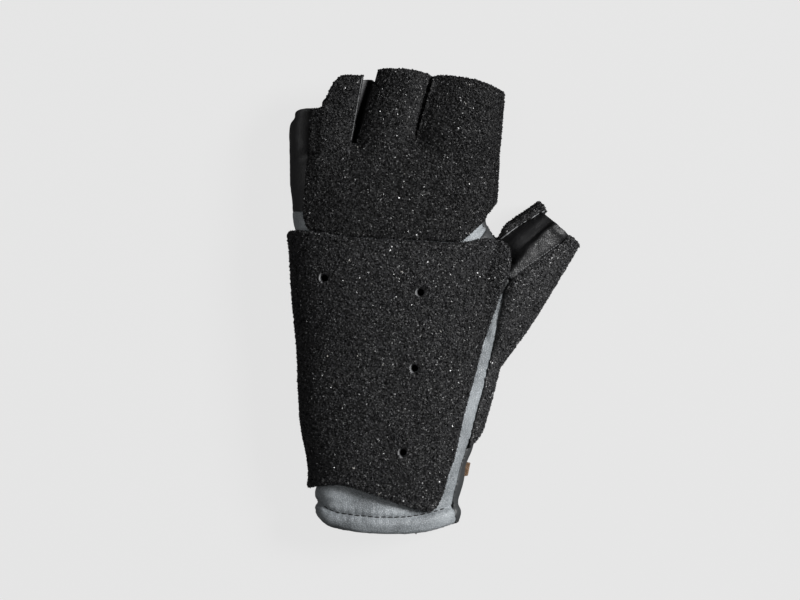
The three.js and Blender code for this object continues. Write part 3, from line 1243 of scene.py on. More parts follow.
def glove_finishes() -> dict[Look, bpy.types.Material]:
    """Builds every material of the glove.

    Returns:
        The materials, by their look.
    """
    grain, crumbs = grain_group(), crumb_group()
    finishes = (
        LeatherFinish(
            Look.LIGHT_LEATHER, (0.328, 0.353, 0.371), (0.072, 0.08, 0.086), 0.4, grain, mottle=0.54,
            depth=0.32,
        ),
        LeatherFinish(Look.DARK_LEATHER, (0.04, 0.0425, 0.044), (0.022, 0.024, 0.025), 0.5, grain),
        # Painted light: a lighter copy of the black leather, for the finger stalls.
        LeatherFinish(Look.SMOOTH_LEATHER, (0.021, 0.021, 0.022), (0.012, 0.012, 0.013), 0.5, grain),
        # Painted shade: a darker, more mottled copy of the black leather, for the thumb's gusset.
        LeatherFinish(
            Look.GUSSET_LEATHER, (0.013, 0.013, 0.014), (0.004, 0.004, 0.0045), 0.45, grain, mottle=0.6,
            depth=0.25,
        ),
        CrumbFinish(Look.CRUMB_RUBBER, (0.001, 0.001, 0.0012), (0.046, 0.046, 0.05), crumbs),
        # Painted shade: a darker copy of the crumb rubber, for the finger sheet.
        CrumbFinish(
            Look.FINGER_CRUMB, (0.0008, 0.0008, 0.0009), (0.027, 0.027, 0.0293), crumbs, specular=0.4
        ),
        # Painted light: a lighter copy of the crumb rubber, for the thumb sheet.
        CrumbFinish(Look.THUMB_CRUMB, (0.002, 0.002, 0.0022), (0.085, 0.085, 0.09), crumbs, specular=0.6),
        WovenFinish(Look.TAN_RIBBON, (0.22, 0.115, 0.05), (0.05, 0.04, 0.03)),
        PlainFinish(Look.BLACK_THREAD, (0.008, 0.008, 0.009)),
        PlainFinish(Look.PALE_BACKING, (0.19, 0.195, 0.2)),
        PlainFinish(Look.CUT_RUBBER, (0.12, 0.122, 0.125), 0.6),
    )
    return {finish.look: finish.material() for finish in finishes}


@dataclass(frozen=True)
class Wrist:
    """The rolled hem at the wrist: its edge, its stitch line and its soft shape.

    Attributes:
        edge: X and Y along the hem's outer edge.
        stitch: X and Y along the stitch line.
        groove: depth and half width of the stitches' groove.
        groove_ends: between these X the groove dies away towards the thumb.
        roll: height, place beside the stitches and half width of the hem's roll.
        turn_in: how far the outer edge turns in, and between which distances from it.
        pucker: height and pitch of the puckers at the stitches.
        above: place and half width of the puckers above the stitches.
        below: place and half width of those below.
        seam: half the width along the side seam that stays as it is.
    """

    edge: Rows = (
        (-60.0, -95.0), (-53.8, -96.8), (-52.0, -99.6), (-48.3, -102.4), (-40.5, -105.1),
        (-27.0, -106.6), (-15.0, -106.9), (-3.7, -105.8), (5.5, -103.7), (10.1, -102.3), (16.0, -100.2),
    )
    stitch: Rows = (
        (-58.0, -88.8), (-50.4, -93.8), (-47.8, -95.4), (-45.7, -96.2), (-42.6, -96.9), (-39.0, -97.4),
        (-28.4, -98.4), (-18.4, -98.7), (-8.3, -98.0), (-1.4, -96.6), (8.7, -94.1), (14.0, -92.5),
    )
    groove: tuple[float, float] = (1.15, 1.1)
    groove_ends: tuple[float, float] = (13.0, 6.0)
    roll: tuple[float, float, float] = (0.75, -3.6, 2.4)
    turn_in: tuple[float, float, float] = (0.9, 2.0, -0.2)
    pucker: tuple[float, float] = (0.12, 3.2)
    above: tuple[float, float] = (1.7, 1.3)
    below: tuple[float, float] = (-1.6, 1.0)
    seam: float = 1.6

    def relief(self, points: Array, _facing: Array) -> Array:
        """Gives the hem's roll, the groove of its stitches and the puckers beside them.

        Args:
            points: the corners.
            _facing: their normals, which the hem doesn't need.

        Returns:
            How far each corner goes out.
        """
        x, y = points[:, 0], points[:, 1]
        off_stitch, off_edge = y - on_line(self.stitch, x), y - on_line(self.edge, x)
        depth = -self.groove[0] * bump(off_stitch, 0.0, self.groove[1]) * smoothstep(*self.groove_ends, x)
        depth += self.roll[0] * bump(off_stitch, *self.roll[1:])
        depth -= self.turn_in[0] * smoothstep(*self.turn_in[1:], off_edge)
        waves = self.pucker[0] * np.sin(x * math.tau / self.pucker[1])
        depth += waves * (bump(off_stitch, *self.above) + bump(off_stitch, *self.below))
        return depth * (1 - bump(points[:, 2], SIDE_SEAM, self.seam))


@dataclass(frozen=True)
class Swell:
    """A soft rise of the leather.

    Attributes:
        x: X of its top.
        y: Y of its top.
        height: how high it rises.
        wide: half its width along X.
        long: half its length along Y.
    """

    x: float
    y: float
    height: float
    wide: float
    long: float

    def rise(self, points: Array) -> Array:
        """Gives how high it rises at each point."""
        off_x, off_y = (points[:, 0] - self.x) / self.wide, (points[:, 1] - self.y) / self.long
        return self.height * np.exp(-(off_x**2) - off_y**2)


@dataclass(frozen=True)
class BackFolds:
    """The soft shape of the light leather on the back of the hand.

    Attributes:
        swells: the bulge below the back sheet, the hem's left end and the corner by the index finger.
        rib: height and pitch of the ribs in that corner.
        rib_lean: how the ribs run, as shares of X and Y.
        seam_rise: how far the leather rises beside the thumb's sheet.
        fullness: how far it stands out everywhere.
        layers: height, size and seed of each layer of unevenness.
    """

    swells: tuple[Swell, ...] = (
        Swell(-48.0, -89.5, 1.7, 8.0, 4.5),
        Swell(-48.0, -101.0, 0.8, 5.0, 4.0),
        Swell(14.0, 31.0, 2.0, 4.5, 6.0),
    )
    rib: tuple[float, float] = (0.3, 3.0)
    rib_lean: tuple[float, float] = (0.62, -0.78)
    seam_rise: float = 0.9
    fullness: float = 0.25
    layers: Rows = ((0.22, 9.0, 3.1), (0.1, 3.0, 1.7))

    def depth(self, points: Array, facing: Array) -> Array:
        """Gives the bulge, the ribs, the rise beside the seam and the unevenness.

        Args:
            points: the corners.
            facing: their normals.

        Returns:
            How far each corner goes out.
        """
        x, y = points[:, 0], points[:, 1]
        ribs = self.rib[0] * np.sin((x * self.rib_lean[0] + y * self.rib_lean[1]) * math.tau / self.rib[1])
        ribs *= smoothstep(11, 15, x) * smoothstep(24, 28, y) * smoothstep(40, 36, y)
        gap = on_line(THUMB_SEAM[:9], y, 1) - x
        beside = smoothstep(6.0, 2.0, gap) * smoothstep(-0.6, 1.2, gap)
        beside *= smoothstep(-3.0, -16.0, y) * smoothstep(-70.0, -60.0, y)
        rise = sum(swell.rise(points) for swell in self.swells) + self.seam_rise * beside
        return self.fullness + rise * smoothstep(0.0, 0.5, facing[:, 2]) + ribs + uneven(points, self.layers)


@dataclass(frozen=True)
class Gusset:
    """The folded leather between the thumb's two sheets.

    Attributes:
        across: how far across the thumb the crease lies, at the station `along`.
        along: the station at which that is given.
        lean: how much further across it lies for each millimetre along.
        panel: how high the panel on the lit side stands.
        sunk: how deep the other side lies at the crease, and how much deeper for each millimetre off it.
        crease: depth and half width of the crease.
        corner: how deep the lower corner lies.
        wrinkles: height, size and seed of each layer of wrinkles.
    """

    across: float = 13.5
    along: float = 44.7
    lean: float = 0.143
    panel: float = 1.7
    sunk: tuple[float, float] = (1.0, 0.22)
    crease: tuple[float, float] = (0.8, 0.8)
    corner: float = 3.6
    wrinkles: Rows = ((0.3, 3.4, 6.6), (0.22, 1.6, 2.2))

    def off_crease(self, points: Array) -> tuple[Array, Array]:
        """Gives how far off the crease, and how far along the thumb, each point lies."""
        across, along = along_thumb(points)
        return across - (self.across + (along - self.along) * self.lean), along

    def fold(self, points: Array) -> Array:
        """Gives the rise and fall of the fold: crease, lit panel, soft bulge and the deep lower corner.

        Args:
            points: the corners.

        Returns:
            How far each corner goes up.
        """
        off, along = self.off_crease(points)
        slope = np.clip(3.2 - (along - self.along) * 0.19, 0.9, 5.6)
        fold = self.panel * smoothstep(0.0, 1.0, off / slope) * smoothstep(12.0, 6.0, off)
        deep = -self.sunk[0] + self.sunk[1] * np.clip(off, -7.0, 0.0)
        fold += deep * smoothstep(0.9, -1.2, off) * smoothstep(-11.0, -8.0, off)
        fold -= self.crease[0] * bump(off, 0.0, self.crease[1]) * smoothstep(42.0, 47.0, along)
        fold -= self.corner * smoothstep(49.0, 37.0, along) * smoothstep(1.05, 0.2, off / slope)
        fold += 0.5 * bump(off, -5.0, 2.0) * bump(along, 52.0, 8.0)
        fold -= 0.7 * bump(off, -2.0, 1.6) * bump(along, 62.0, 6.0)
        fold += 0.7 * bump(along, 62.0, 1.3) * smoothstep(0.0, 2.0, off)
        return fold * smoothstep(12.0, 16.0, points[:, 2])

    def wrinkle(self, points: Array, facing: Array) -> Array:
        """Gives the leather's small wrinkles, stronger on the lit side of the fold.

        Args:
            points: the corners.
            facing: their normals.

        Returns:
            How far each corner goes out.
        """
        off, _ = self.off_crease(points)
        share = 0.35 + 0.65 * smoothstep(-1.0, 2.0, off)
        return uneven(points, self.wrinkles) * share * (facing[:, 2] > 0.1)


@dataclass(frozen=True)
class Web:
    """The leather that spans from a stall to the next finger's.

    Attributes:
        stall: the stall that gets it.
        outline: its outline seen from above.
        low: the height of its lower face at the finger's root.
        high: the height of its upper face at the finger's root.
        voxel: the voxel's edge with which it is divided.
        fall: how far it falls for each millimetre towards the tips.
    """

    stall: str
    outline: Outline
    low: float
    high: float
    voxel: float = 0.6
    fall: float = 0.05

    def widen(self, stall: bpy.types.Object) -> None:
        """Joins the web to its stall.

        Args:
            stall: the stall.
        """
        strip = self.outline.prism(self.low, self.high)
        remesh(strip, self.voxel, smooth=0)
        lift(strip, lambda points: (WEB - points[:, 1]) * self.fall)
        fused(stall, strip)


RING_WEB = Outline(
    (
        (-34.0, 102.2, 1), (-37.6, 72.2, 0), (-33.0, 72.2, 0), (-30.0, 85.8, 0), (-27.5, 92.7, 0),
        (-25.4, 100.6, 1),
    )
)
MIDDLE_WEB = Outline(((-10.4, 72.2, 0), (-6.4, 72.2, 0), (2.2, 103.0, 0), (-1.4, 104.0, 0)))


@dataclass
class Leathers:
    """All leather pieces, cut from one hollow shell like the real glove's pattern.

    Attributes:
        skin: the glove's outer face and hollow.
        finishes: the materials.
        wrist_cut: what stays of the shell above the wrist's edge.
        back_outline: the light leather of the back.
        little_side: the little finger's stall and the side of the hand below it.
        stall_ends: where the finger stalls end.
        webs: the webs beside the finger stalls.
        wrist: the hem.
        folds: the soft shape of the back.
        gusset: the fold of the thumb's stall.
        step: the step at the index finger's slit.
        voxel: the voxel's edge of the back and the palm.
        palm_layer: fullness of the palm, and height, size and seed of its unevenness.
        stall_layers: height and size of each layer of the stalls' creases.
        punch: radius of the holes under the vents, and how far they lie aside.
        shell: the hollow shell that every piece is cut from.
    """

    skin: Skin
    finishes: dict[Look, bpy.types.Material]
    wrist_cut: Outline = Outline(
        (
            (-80, -88, 0), (-56, -93, 2), (-52.8, -100.4, 3), (-45.5, -104.8, 5), (-30, -107.0, 8),
            (-6, -107.0, 8), (11.0, -102.3, 2), (16, -98, 0), (90, -98, 0), (90, 130, 0), (-80, 130, 0),
        )
    )
    back_outline: Outline = Outline(
        (
            (-80, -120, 0), (10.4, -120, 0), (10.3, -101.4, 0), (8.7, -94.5, 3), (8.7, -90.0, 6),
            (12.6, -74.5, 20), (20.6, -52.0, 20), (26.5, -32.0, 20), (33.0, 2.0, 10), (27.0, 15.0, 8),
            (19.8, 27.6, 3), (24.6, 32.2, 2.5), (21.2, 36.6, 3), (18.0, 90.0, 0), (-80, 90, 0),
        )
    )
    little_side: Outline = Outline(
        (
            (-80, 41.2, 0), (-53.9, 41.2, 0), (-53.9, WEB + 0.15, 0), (-51.65, WEB + 0.15, 0),
            (-51.65, 130, 0), (-80, 130, 0),
        )
    )
    stall_ends: Outline = Outline(
        (
            (-80, 0, 0), (80, 0, 0), (36, 92.0, 0), (16, 100.6, 16), (0.4, 102.4, 0), (-10, 104.8, 8),
            (-26.5, 102.2, 0), (-38, 101.2, 3), (-51.5, 92.0, 4), (-51.7, 88.4, 0), (-58.0, 89.0, 3),
            (-61.9, 88.0, 1), (-63.7, 86.6, 0.6), (-63.4, 84.3, 0.4), (-65.4, 82.4, 1),
            (-68.0, 78.0, 0), (-80, 74, 0),
        )
    )
    webs: tuple[Web, ...] = (
        Web("ring_finger_stall", RING_WEB, 17.0, 20.0),
        Web("middle_finger_stall", MIDDLE_WEB, 20.0, 23.0),
    )
    wrist: Wrist = Wrist()
    folds: BackFolds = BackFolds()
    gusset: Gusset = Gusset()
    step: FingerStep = FingerStep()
    voxel: float = 0.65
    palm_layer: tuple[float, float, float, float] = (0.35, 0.2, 9.0, 5.3)
    stall_layers: Rows = ((0.16, 5.0), (0.1, 1.9))
    punch: tuple[float, float] = (1.5, 0.4)
    shell: bpy.types.Object = field(init=False)

    def __post_init__(self) -> None:
        """Cuts the hollow shell."""
        self.shell = self.skin.grown(0.0)
        carve(self.shell, self.skin.hollow(), Cut.AWAY)
        carve(self.shell, self.wrist_cut.prism(BELOW, SKY), Cut.COMMON)

    def _piece(
        self, name: str, keep: Sequence[bpy.types.Object], away: Sequence[bpy.types.Object]
    ) -> bpy.types.Object:
        """Cuts one piece out of the shell.

        Args:
            name: the piece's name.
            keep: shapes whose common space with the shell is kept, in turn.
            away: shapes that are then taken away.

        Returns:
            The largest part of what is left.
        """
        piece = twin(self.shell, name)
        for tool in keep:
            carve(piece, tool, Cut.COMMON)
        for tool in away:
            carve(piece, tool, Cut.AWAY)
        return largest(piece)

    def _dress(self, piece: bpy.types.Object, node: str, look: Look) -> bpy.types.Object:
        """Gives a piece its place in the frame, its finish and a smooth face.

        Args:
            piece: the finished piece.
            node: the name of the solid that it stands for.
            look: the finish itself.

        Returns:
            The same piece.
        """
        dressed(piece, f"{node}_cover", self.finishes[look])
        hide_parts(node)
        return piece

    def _below_web(self) -> bpy.types.Object:
        """Gives the space of the hand, below the fingers."""
        return block((-FAR, -FAR, BELOW), (FAR, WEB - GAP / 2, SKY))

    @staticmethod
    def _thumb_space(gap: float) -> bpy.types.Object:
        """Gives the space of the thumb's stall.

        Args:
            gap: how much larger the space is than the stall.

        Returns:
            The space, as a closed block.
        """
        space = block((-FAR, THUMB_STALL_START - gap, BELOW), (FAR, 160, SKY), THUMB_TURN)
        side = block((THUMB_STALL_SIDE - gap, -FAR, BELOW - 1), (FAR, WEB - GAP / 2, SKY + 1))
        carve(space, side, Cut.COMMON)
        return space

    def back(self) -> bpy.types.Object:
        """Builds the light leather over the back of the hand, with the hem and its folds.

        Returns:
            The finished piece.
        """
        keep = [self.back_outline.prism(SIDE_SEAM, SKY), self._below_web()]
        piece = self._piece("back", keep, [self.little_side.prism(BELOW, SKY), self._thumb_space(GAP)])
        remesh(piece, self.voxel, smooth=3)
        sculpt(piece, self.wrist.relief)
        sculpt(piece, self.folds.depth)
        finish_with(piece, "SMOOTH", factor=0.5, iterations=1)
        finish_with(piece, "DECIMATE", ratio=0.42)
        radius, aside = self.punch
        for x, y in VENTS:
            carve(piece, drill(x + aside, y, radius, 28), Cut.AWAY)
        return self._dress(piece, "back_leather", Look.LIGHT_LEATHER)

    def palm(self) -> bpy.types.Object:
        """Builds the dark leather of the palm, of the underside of the wrist and of the thumb's root.

        Returns:
            The finished piece.
        """
        back, side = self.back_outline.prism(SIDE_SEAM, SKY), self.little_side.prism(BELOW, SKY)
        piece = self._piece("palm", [self._below_web()], [back, side, self._thumb_space(GAP)])
        remesh(piece, self.voxel, smooth=3)
        sculpt(piece, self.wrist.relief)

        def fullness(points: Array, facing: Array) -> Array:
            """Gives the palm's soft unevenness, which leaves the face on the floor flat."""
            full, *layer = self.palm_layer
            return (full + uneven(points, (layer,))) * (facing[:, 2] > -0.9)

        sculpt(piece, fullness)
        finish_with(piece, "DECIMATE", ratio=0.35)
        rest_on_floor(piece)
        return self._dress(piece, "palm_leather", Look.DARK_LEATHER)

    def stalls(self) -> list[bpy.types.Object]:
        """Builds the finger stalls, of which the little finger's runs on down the side of the hand.

        Returns:
            The finished stalls.
        """
        side = [self.little_side.prism(BELOW, SKY), self.stall_ends.prism(BELOW, SKY)]
        made = [self._finish_stall(self._piece("little", side, []), "little_finger_stall", 7.7)]
        names = ("ring_finger_stall", "middle_finger_stall", "index_finger_stall")
        for tube, name, seed in zip(FINGERS[1:], names, (1.3, 2.9, 4.1), strict=True):
            whole = np.linspace(FINGER_START, TIP_END, 50)
            inner = np.linspace(FINGER_START - 1, TIP_END + 1, 50)
            piece = tube.solid(name, whole, 72, lambda along: np.zeros(along.shape))
            inside = tube.solid(name, inner, 72, lambda along: np.full(along.shape, -LEATHER))
            carve(piece, inside, Cut.AWAY)
            carve(piece, block((-60, WEB + GAP / 2, BELOW), (60, 130, SKY)), Cut.COMMON)
            carve(piece, self.stall_ends.prism(BELOW, SKY), Cut.COMMON)
            for web in self.webs:
                if web.stall == name:
                    web.widen(piece)
            made.append(self._finish_stall(piece, name, seed))
        return made

    def _finish_stall(self, piece: bpy.types.Object, node: str, seed: float) -> bpy.types.Object:
        """Rounds a stall's edges and gives it soft creases.

        Args:
            piece: the stall as cut.
            node: the name of the solid that it stands for.
            seed: moves the creases.

        Returns:
            The finished stall.
        """
        remesh(piece, 0.7, smooth=3)
        sculpt(piece, lambda points, _: uneven(points, [(*layer, seed) for layer in self.stall_layers]))
        lift(piece, self.step.rise)
        finish_with(piece, "DECIMATE", ratio=0.7)
        return self._dress(piece, node, Look.SMOOTH_LEATHER)

    def thumb(self) -> bpy.types.Object:
        """Builds the thumb's stall, with the folded gusset between its rubber sheets.

        Returns:
            The finished stall.
        """
        beyond = block((-FAR, THUMB_END, BELOW - 1), (FAR, 170, SKY + 1), THUMB_TURN)
        piece = self._piece("thumb", [self._thumb_space(0.0)], [beyond])
        remesh(piece, 0.6, smooth=3)
        lift(piece, self.gusset.fold)
        sculpt(piece, self.gusset.wrinkle)
        finish_with(piece, "SMOOTH", factor=0.5, iterations=1)
        return self._dress(piece, "thumb_stall", Look.GUSSET_LEATHER)


@dataclass(frozen=True)
class Crumb:
    """One crumb of rubber: a double pyramid that each copy stretches and turns.

    Attributes:
        size: the least and the greatest half width.
        spread: the least and the greatest factor on a whole crumb.
        skew: how far each corner may be drawn out or in.
        jitter: how far out of the face its middle may lie.
        sunk: how much deeper it sits near the back of a cut edge.
    """

    size: tuple[float, float] = (0.42, 0.72)
    spread: tuple[float, float] = (0.65, 1.35)
    skew: float = 0.25
    jitter: float = 0.2
    sunk: float = 0.3

    def shape(self) -> tuple[Array, Array]:
        """Models the double pyramid.

        Returns:
            Its corners, and the three corners of each face.
        """
        bpy.ops.mesh.primitive_cone_add(
            vertices=3, radius1=1, depth=1, end_fill_type="NOTHING", location=(0, 0, 0.5)
        )
        chip = bpy.context.object
        bpy.ops.object.transform_apply(location=True, rotation=True, scale=True)
        edit_all(chip)
        bpy.ops.mesh.select_non_manifold(extend=False)
        bpy.ops.mesh.extrude_edges_move(TRANSFORM_OT_translate={"value": (0, 0, -1)})
        bpy.ops.mesh.merge(type="CENTER")
        bpy.ops.mesh.select_all(action="SELECT")
        bpy.ops.mesh.normals_make_consistent(inside=False)
        bpy.ops.mesh.quads_convert_to_tris()
        bpy.ops.object.mode_set(mode="OBJECT")
        corners = coordinates(chip) * MM
        faces = np.array([face.vertices[:] for face in chip.data.polygons])
        discard(chip)
        return corners, faces

    def scattered(self, seats: Array, rng: np.random.Generator) -> tuple[Array, Array]:
        """Gives a crumb its own size, skew and turn at every seat.

        Args:
            seats: the middle of each crumb.
            rng: the seeded random source.

        Returns:
            The corners and the faces of all crumbs.
        """
        corners, faces = self.shape()
        number, each = len(seats), len(corners)
        size = rng.uniform(*self.size, (number, 1, 3)) * rng.uniform(*self.spread, (number, 1, 1))
        turns = random_turns(rng, number)
        bodies = corners[None] * (1 + rng.uniform(-self.skew, self.skew, (number, each, 3))) * size
        bodies = np.einsum("nij,nkj->nki", turns, bodies) + seats[:, None]
        all_faces = faces[None] + (np.arange(number) * each)[:, None, None]
        return bodies.reshape(-1, 3), all_faces.reshape(-1, 3)


@dataclass
class GripSheet:
    """A sheet of bonded rubber crumb, laid over the leather.

    Attributes:
        node: the name of the solid that it stands for.
        outlines: each outline seen from above, with the lowest and highest height that it takes.
        thickness: the sheet's thickness.
        seed: fixes the crumbs' places.
        look: the crumb rubber's finish.
        spacing: the area that one crumb has, in square millimetres.
        ragged: whether crumbs also stand on the lower half of its cut edges.
        slits: the slits between the fingers.
        vents: X and Y of each round hole.
        vent_radius: the holes' radius.
        bridge: how high it bridges from the ring finger towards the little finger.
        bridge_at: X and half width of that bridge.
        pressed: X and Y along an edge that is sewn down.
        press: how far that edge is pressed down.
        climb: how much higher the added outline reaches for each millimetre along the thumb.
        keep_off: outlines with heights that the sheet stays clear of.
        step: the step at the index finger's slit.
        layers: height, size and seed of each layer of unevenness, the first with the sheet's own seed.
        crumb: the crumbs' shape.
    """

    node: str
    outlines: Sequence[tuple[Outline, float, float]]
    thickness: float
    seed: int
    look: Look = Look.CRUMB_RUBBER
    spacing: float = 0.45
    ragged: bool = True
    slits: Sequence[Slit] = ()
    vents: Rows = ()
    vent_radius: float = 2.3
    bridge: float = 0.0
    bridge_at: tuple[float, float] = (-52.6, 4.0)
    pressed: Rows = ()
    press: float = 1.5
    climb: float = 0.0
    keep_off: Sequence[tuple[Outline, float, float]] = ()
    step: FingerStep = FingerStep()
    layers: Rows = ((0.12, 1.7), (0.15, 14.0, 2.0))
    crumb: Crumb = Crumb()

    def build(self, skin: Skin, material: bpy.types.Material) -> bpy.types.Object:
        """Builds the sheet and its crumbs as one piece.

        Args:
            skin: the glove's outer face.
            material: the crumb rubber.

        Returns:
            The finished piece.
        """
        sheet = self._cut(skin)
        self._shape(sheet)
        crumbs = self._crumbs(sheet, skin, np.random.default_rng(self.seed))
        self._label(sheet, np.zeros(len(sheet.data.vertices), np.float32))
        only(sheet)
        bpy.ops.object.shade_smooth()
        fused(sheet, crumbs)
        rest_on_floor(sheet)
        sheet.name = f"{self.node}_sheet"
        sheet.data.materials.clear()
        sheet.data.materials.append(material)
        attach(sheet, "root")
        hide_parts(self.node)
        sheet.data.calc_loop_triangles()
        LOG.info("%s: %d triangles", sheet.name, len(sheet.data.loop_triangles))
        return sheet

    def _cut(self, skin: Skin) -> bpy.types.Object:
        """Cuts the sheet out of a shell that lies on the leather.

        Args:
            skin: the glove's outer face.

        Returns:
            The plain sheet.
        """
        sheet = skin.grown(self.thickness + GAP)
        region = self.outlines[0][0].prism(*self.outlines[0][1:])
        for outline, low, high in self.outlines[1:]:
            extra = outline.prism(low, high)
            self._slope(extra, low)
            carve(region, extra, Cut.JOINED)
        carve(sheet, region, Cut.COMMON)
        carve(sheet, skin.grown(GAP), Cut.AWAY)
        for outline, low, high in self.keep_off:
            carve(sheet, outline.prism(low, high), Cut.AWAY)
        sheet = largest(sheet)
        remesh(sheet, 1.0, smooth=2)
        finish_with(sheet, "DECIMATE", ratio=0.25)
        return sheet

    def _slope(self, extra: bpy.types.Object, low: float) -> None:
        """Slopes the upper face of an added outline's block.

        Args:
            extra: the block.
            low: the height of its lower face.
        """

        def rise(points: Array) -> Array:
            """Gives the climb along the thumb, on the upper face only."""
            _, along = along_thumb(points)
            return np.where(points[:, 2] > low + 1, self.climb * np.maximum(along - 42, 0), 0)

        lift(extra, rise)

    def _shape(self, sheet: bpy.types.Object) -> None:
        """Presses, bridges, slits, drills and roughens the sheet.

        Args:
            sheet: the plain sheet.
        """
        if self.pressed:
            lift(
                sheet,
                lambda points: -self.press
                * smoothstep(3.4, 0.3, off_line(points, self.pressed))
                * smoothstep(14.0, 18.0, points[:, 2]),
            )
        if self.bridge:
            lift(
                sheet,
                lambda points: self.bridge
                * bump(points[:, 0], *self.bridge_at)
                * smoothstep(56.0, 74.0, points[:, 1])
                * smoothstep(15.0, 22.0, points[:, 2]),
            )
        for slit in self.slits:
            carve(sheet, slit.wedge(), Cut.AWAY)
        if self.slits:
            lift(sheet, self.step.rise)
        for x, y in self.vents:
            carve(sheet, drill(x, y, self.vent_radius, 32), Cut.AWAY)
        layers = ((*self.layers[0], self.seed), self.layers[1])
        sculpt(sheet, lambda points, _: uneven(points, layers))
        rest_on_floor(sheet)

    @staticmethod
    def _label(thing: bpy.types.Object, values: Array) -> None:
        """Stores each corner's crumb shade."""
        shade = thing.data.attributes.new("crumb", "FLOAT", "POINT")
        shade.data.foreach_set("value", values)

    def _crumbs(
        self, sheet: bpy.types.Object, skin: Skin, rng: np.random.Generator
    ) -> bpy.types.Object:
        """Scatters crumbs over the sheet's outer face and its cut edges.

        Args:
            sheet: the smooth sheet.
            skin: the glove's outer face, which the sheet's back lies on.
            rng: the seeded random source.

        Returns:
            One object with every crumb.
        """
        mesh = sheet.data
        mesh.calc_loop_triangles()
        count = len(mesh.loop_triangles)
        index = np.empty(3 * count, np.int32)
        mesh.loop_triangles.foreach_get("vertices", index)
        area = np.empty(count, np.float32)
        mesh.loop_triangles.foreach_get("area", area)
        corners = coordinates(sheet)[index.reshape(-1, 3)]
        middle = corners.mean(axis=1)
        off_back = self._off_back(middle, skin)
        shown = self._shown(middle, off_back)
        under = np.where(middle[:, 2] < 0.4, 0.3, 1.0)
        weight = np.where(shown, area, 0) * under / MM**2
        number = int(weight.sum() / self.spacing)
        chosen = rng.choice(count, number, p=weight / weight.sum())
        u, v = rng.random(number), rng.random(number)
        over = u + v > 1
        u[over], v[over] = 1 - u[over], 1 - v[over]
        picked = corners[chosen]
        along, across = picked[:, 1] - picked[:, 0], picked[:, 2] - picked[:, 0]
        facing = np.cross(along, across)
        facing /= np.linalg.norm(facing, axis=1)[:, None] + 1e-12
        seats = picked[:, 0] + along * u[:, None] + across * v[:, None]
        edge = smoothstep(self.thickness + GAP - 0.4, self.thickness * 0.6, off_back[chosen])
        jitter = rng.uniform(-self.crumb.jitter, self.crumb.jitter, number)
        seats += facing * (jitter - self.crumb.sunk * edge)[:, None]
        bodies, faces = self.crumb.scattered(seats, rng)
        crumbs = bpy.data.objects.new("crumbs", bpy.data.meshes.new("crumbs"))
        crumbs.data.from_pydata((bodies * MM).tolist(), [], faces.tolist())
        bpy.context.collection.objects.link(crumbs)
        self._label(crumbs, np.repeat(rng.random(number), len(bodies) // number).astype(np.float32))
        only(crumbs)
        bpy.ops.object.shade_flat()
        return crumbs

    @staticmethod
    def _off_back(middle: Array, skin: Skin) -> Array:
        """Gives how far each point lies from the sheet's back.

        Args:
            middle: the points.
            skin: the glove's outer face.

        Returns:
            One distance for each point.
        """
        back = skin.grown(GAP)
        tree = BVHTree.FromObject(back, bpy.context.evaluated_depsgraph_get())
        off_back = np.array([tree.find_nearest(Vector(p * MM))[3] for p in middle]) / MM
        discard(back)
        return off_back

    def _shown(self, middle: Array, off_back: Array) -> Array:
        """Tells which points show, which the back and the walls of the holes and slits don't.

        Args:
            middle: the points.
            off_back: how far each lies from the sheet's back.

        Returns:
            True or false for each point.
        """
        shown = off_back > 0.8
        for x, y in self.vents:
            shown &= np.hypot(middle[:, 0] - x, middle[:, 1] - y) > self.vent_radius + 0.2
        for slit in self.slits:
            shown &= ~slit.on_wall(middle)
        if not self.ragged:
            shown &= off_back > self.thickness * 0.75
        return shown


FINGER_EDGE = Outline(
    (
        (-57.4, 32.9, 1), (-38.0, 29.6, 20), (12.7, 27.1, 1), (22.6, 35.6, 1.5), (24.6, 39.6, 3),
        (30.4, 47.5, 5), (38.0, 56.0, 0), (38.0, 93.0, 0), (33.0, 96.0, 1.5), (22.0, 101.0, 8),
        (6.0, 103.8, 8), (0.5, 103.0, 0.5), (-6.0, 105.7, 5), (-20.0, 106.7, 3), (-26.8, 105.9, 0.3),
        (-32.0, 103.4, 0.5), (-43.8, 103.8, 6), (-48.4, 94.2, 5), (-51.0, 88.2, 0.5),
        (-56.1, 88.0, 0.5), (-56.6, 74.0, 10), (-58.8, 51.0, 10), (-60.0, 41.0, 4),
    )
)
BACK_EDGE = Outline(
    (
        (-74.0, 27.0, 0), (-65.0, 32.8, 3), (-52.0, 31.8, 10), (-38.0, 29.0, 20), (12.7, 26.4, 6),
        (24.8, 29.4, 5), (35.4, 26.4, 4), (35.4, 14.0, 8), (30.9, 3.9, 4), (28.6, -3.0, 4),
        (25.8, -10.3, 4), (23.1, -17.7, 4), (21.2, -25.1, 4), (19.4, -32.4, 4), (16.2, -43.5, 4),
        (13.3, -54.5, 4), (11.0, -65.5, 4), (9.2, -72.9, 3), (6.4, -80.3, 3), (4.7, -87.6, 3),
        (0.2, -96.6, 3.5), (-10.0, -94.4, 12), (-40.5, -83.4, 12), (-52.9, -84.3, 4), (-57.4, -86.2, 2),
        (-70.0, -82.0, 0),
    )
)
THUMB_EDGE = Outline(
    (
        (16.4, -65.4, 0), (18.9, -54.5, 4), (20.8, -47.1, 4), (23.0, -39.8, 4), (24.4, -32.4, 4),
        (26.3, -25.1, 4), (28.1, -17.7, 4), (29.5, -10.3, 4), (30.9, -3.0, 4), (33.0, 6.0, 8),
        (36.8, 11.6, 2), (59.2, 26.9, 0.5), (62.3, 31.2, 0.5), (68.4, 25.4, 1), (80.0, 10.0, 0),
        (50.0, -38.0, 0), (28.0, -52.6, 0), (24.9, -55.4, 1), (20.9, -62.6, 2), (16.0, -68.5, 1),
    )
)
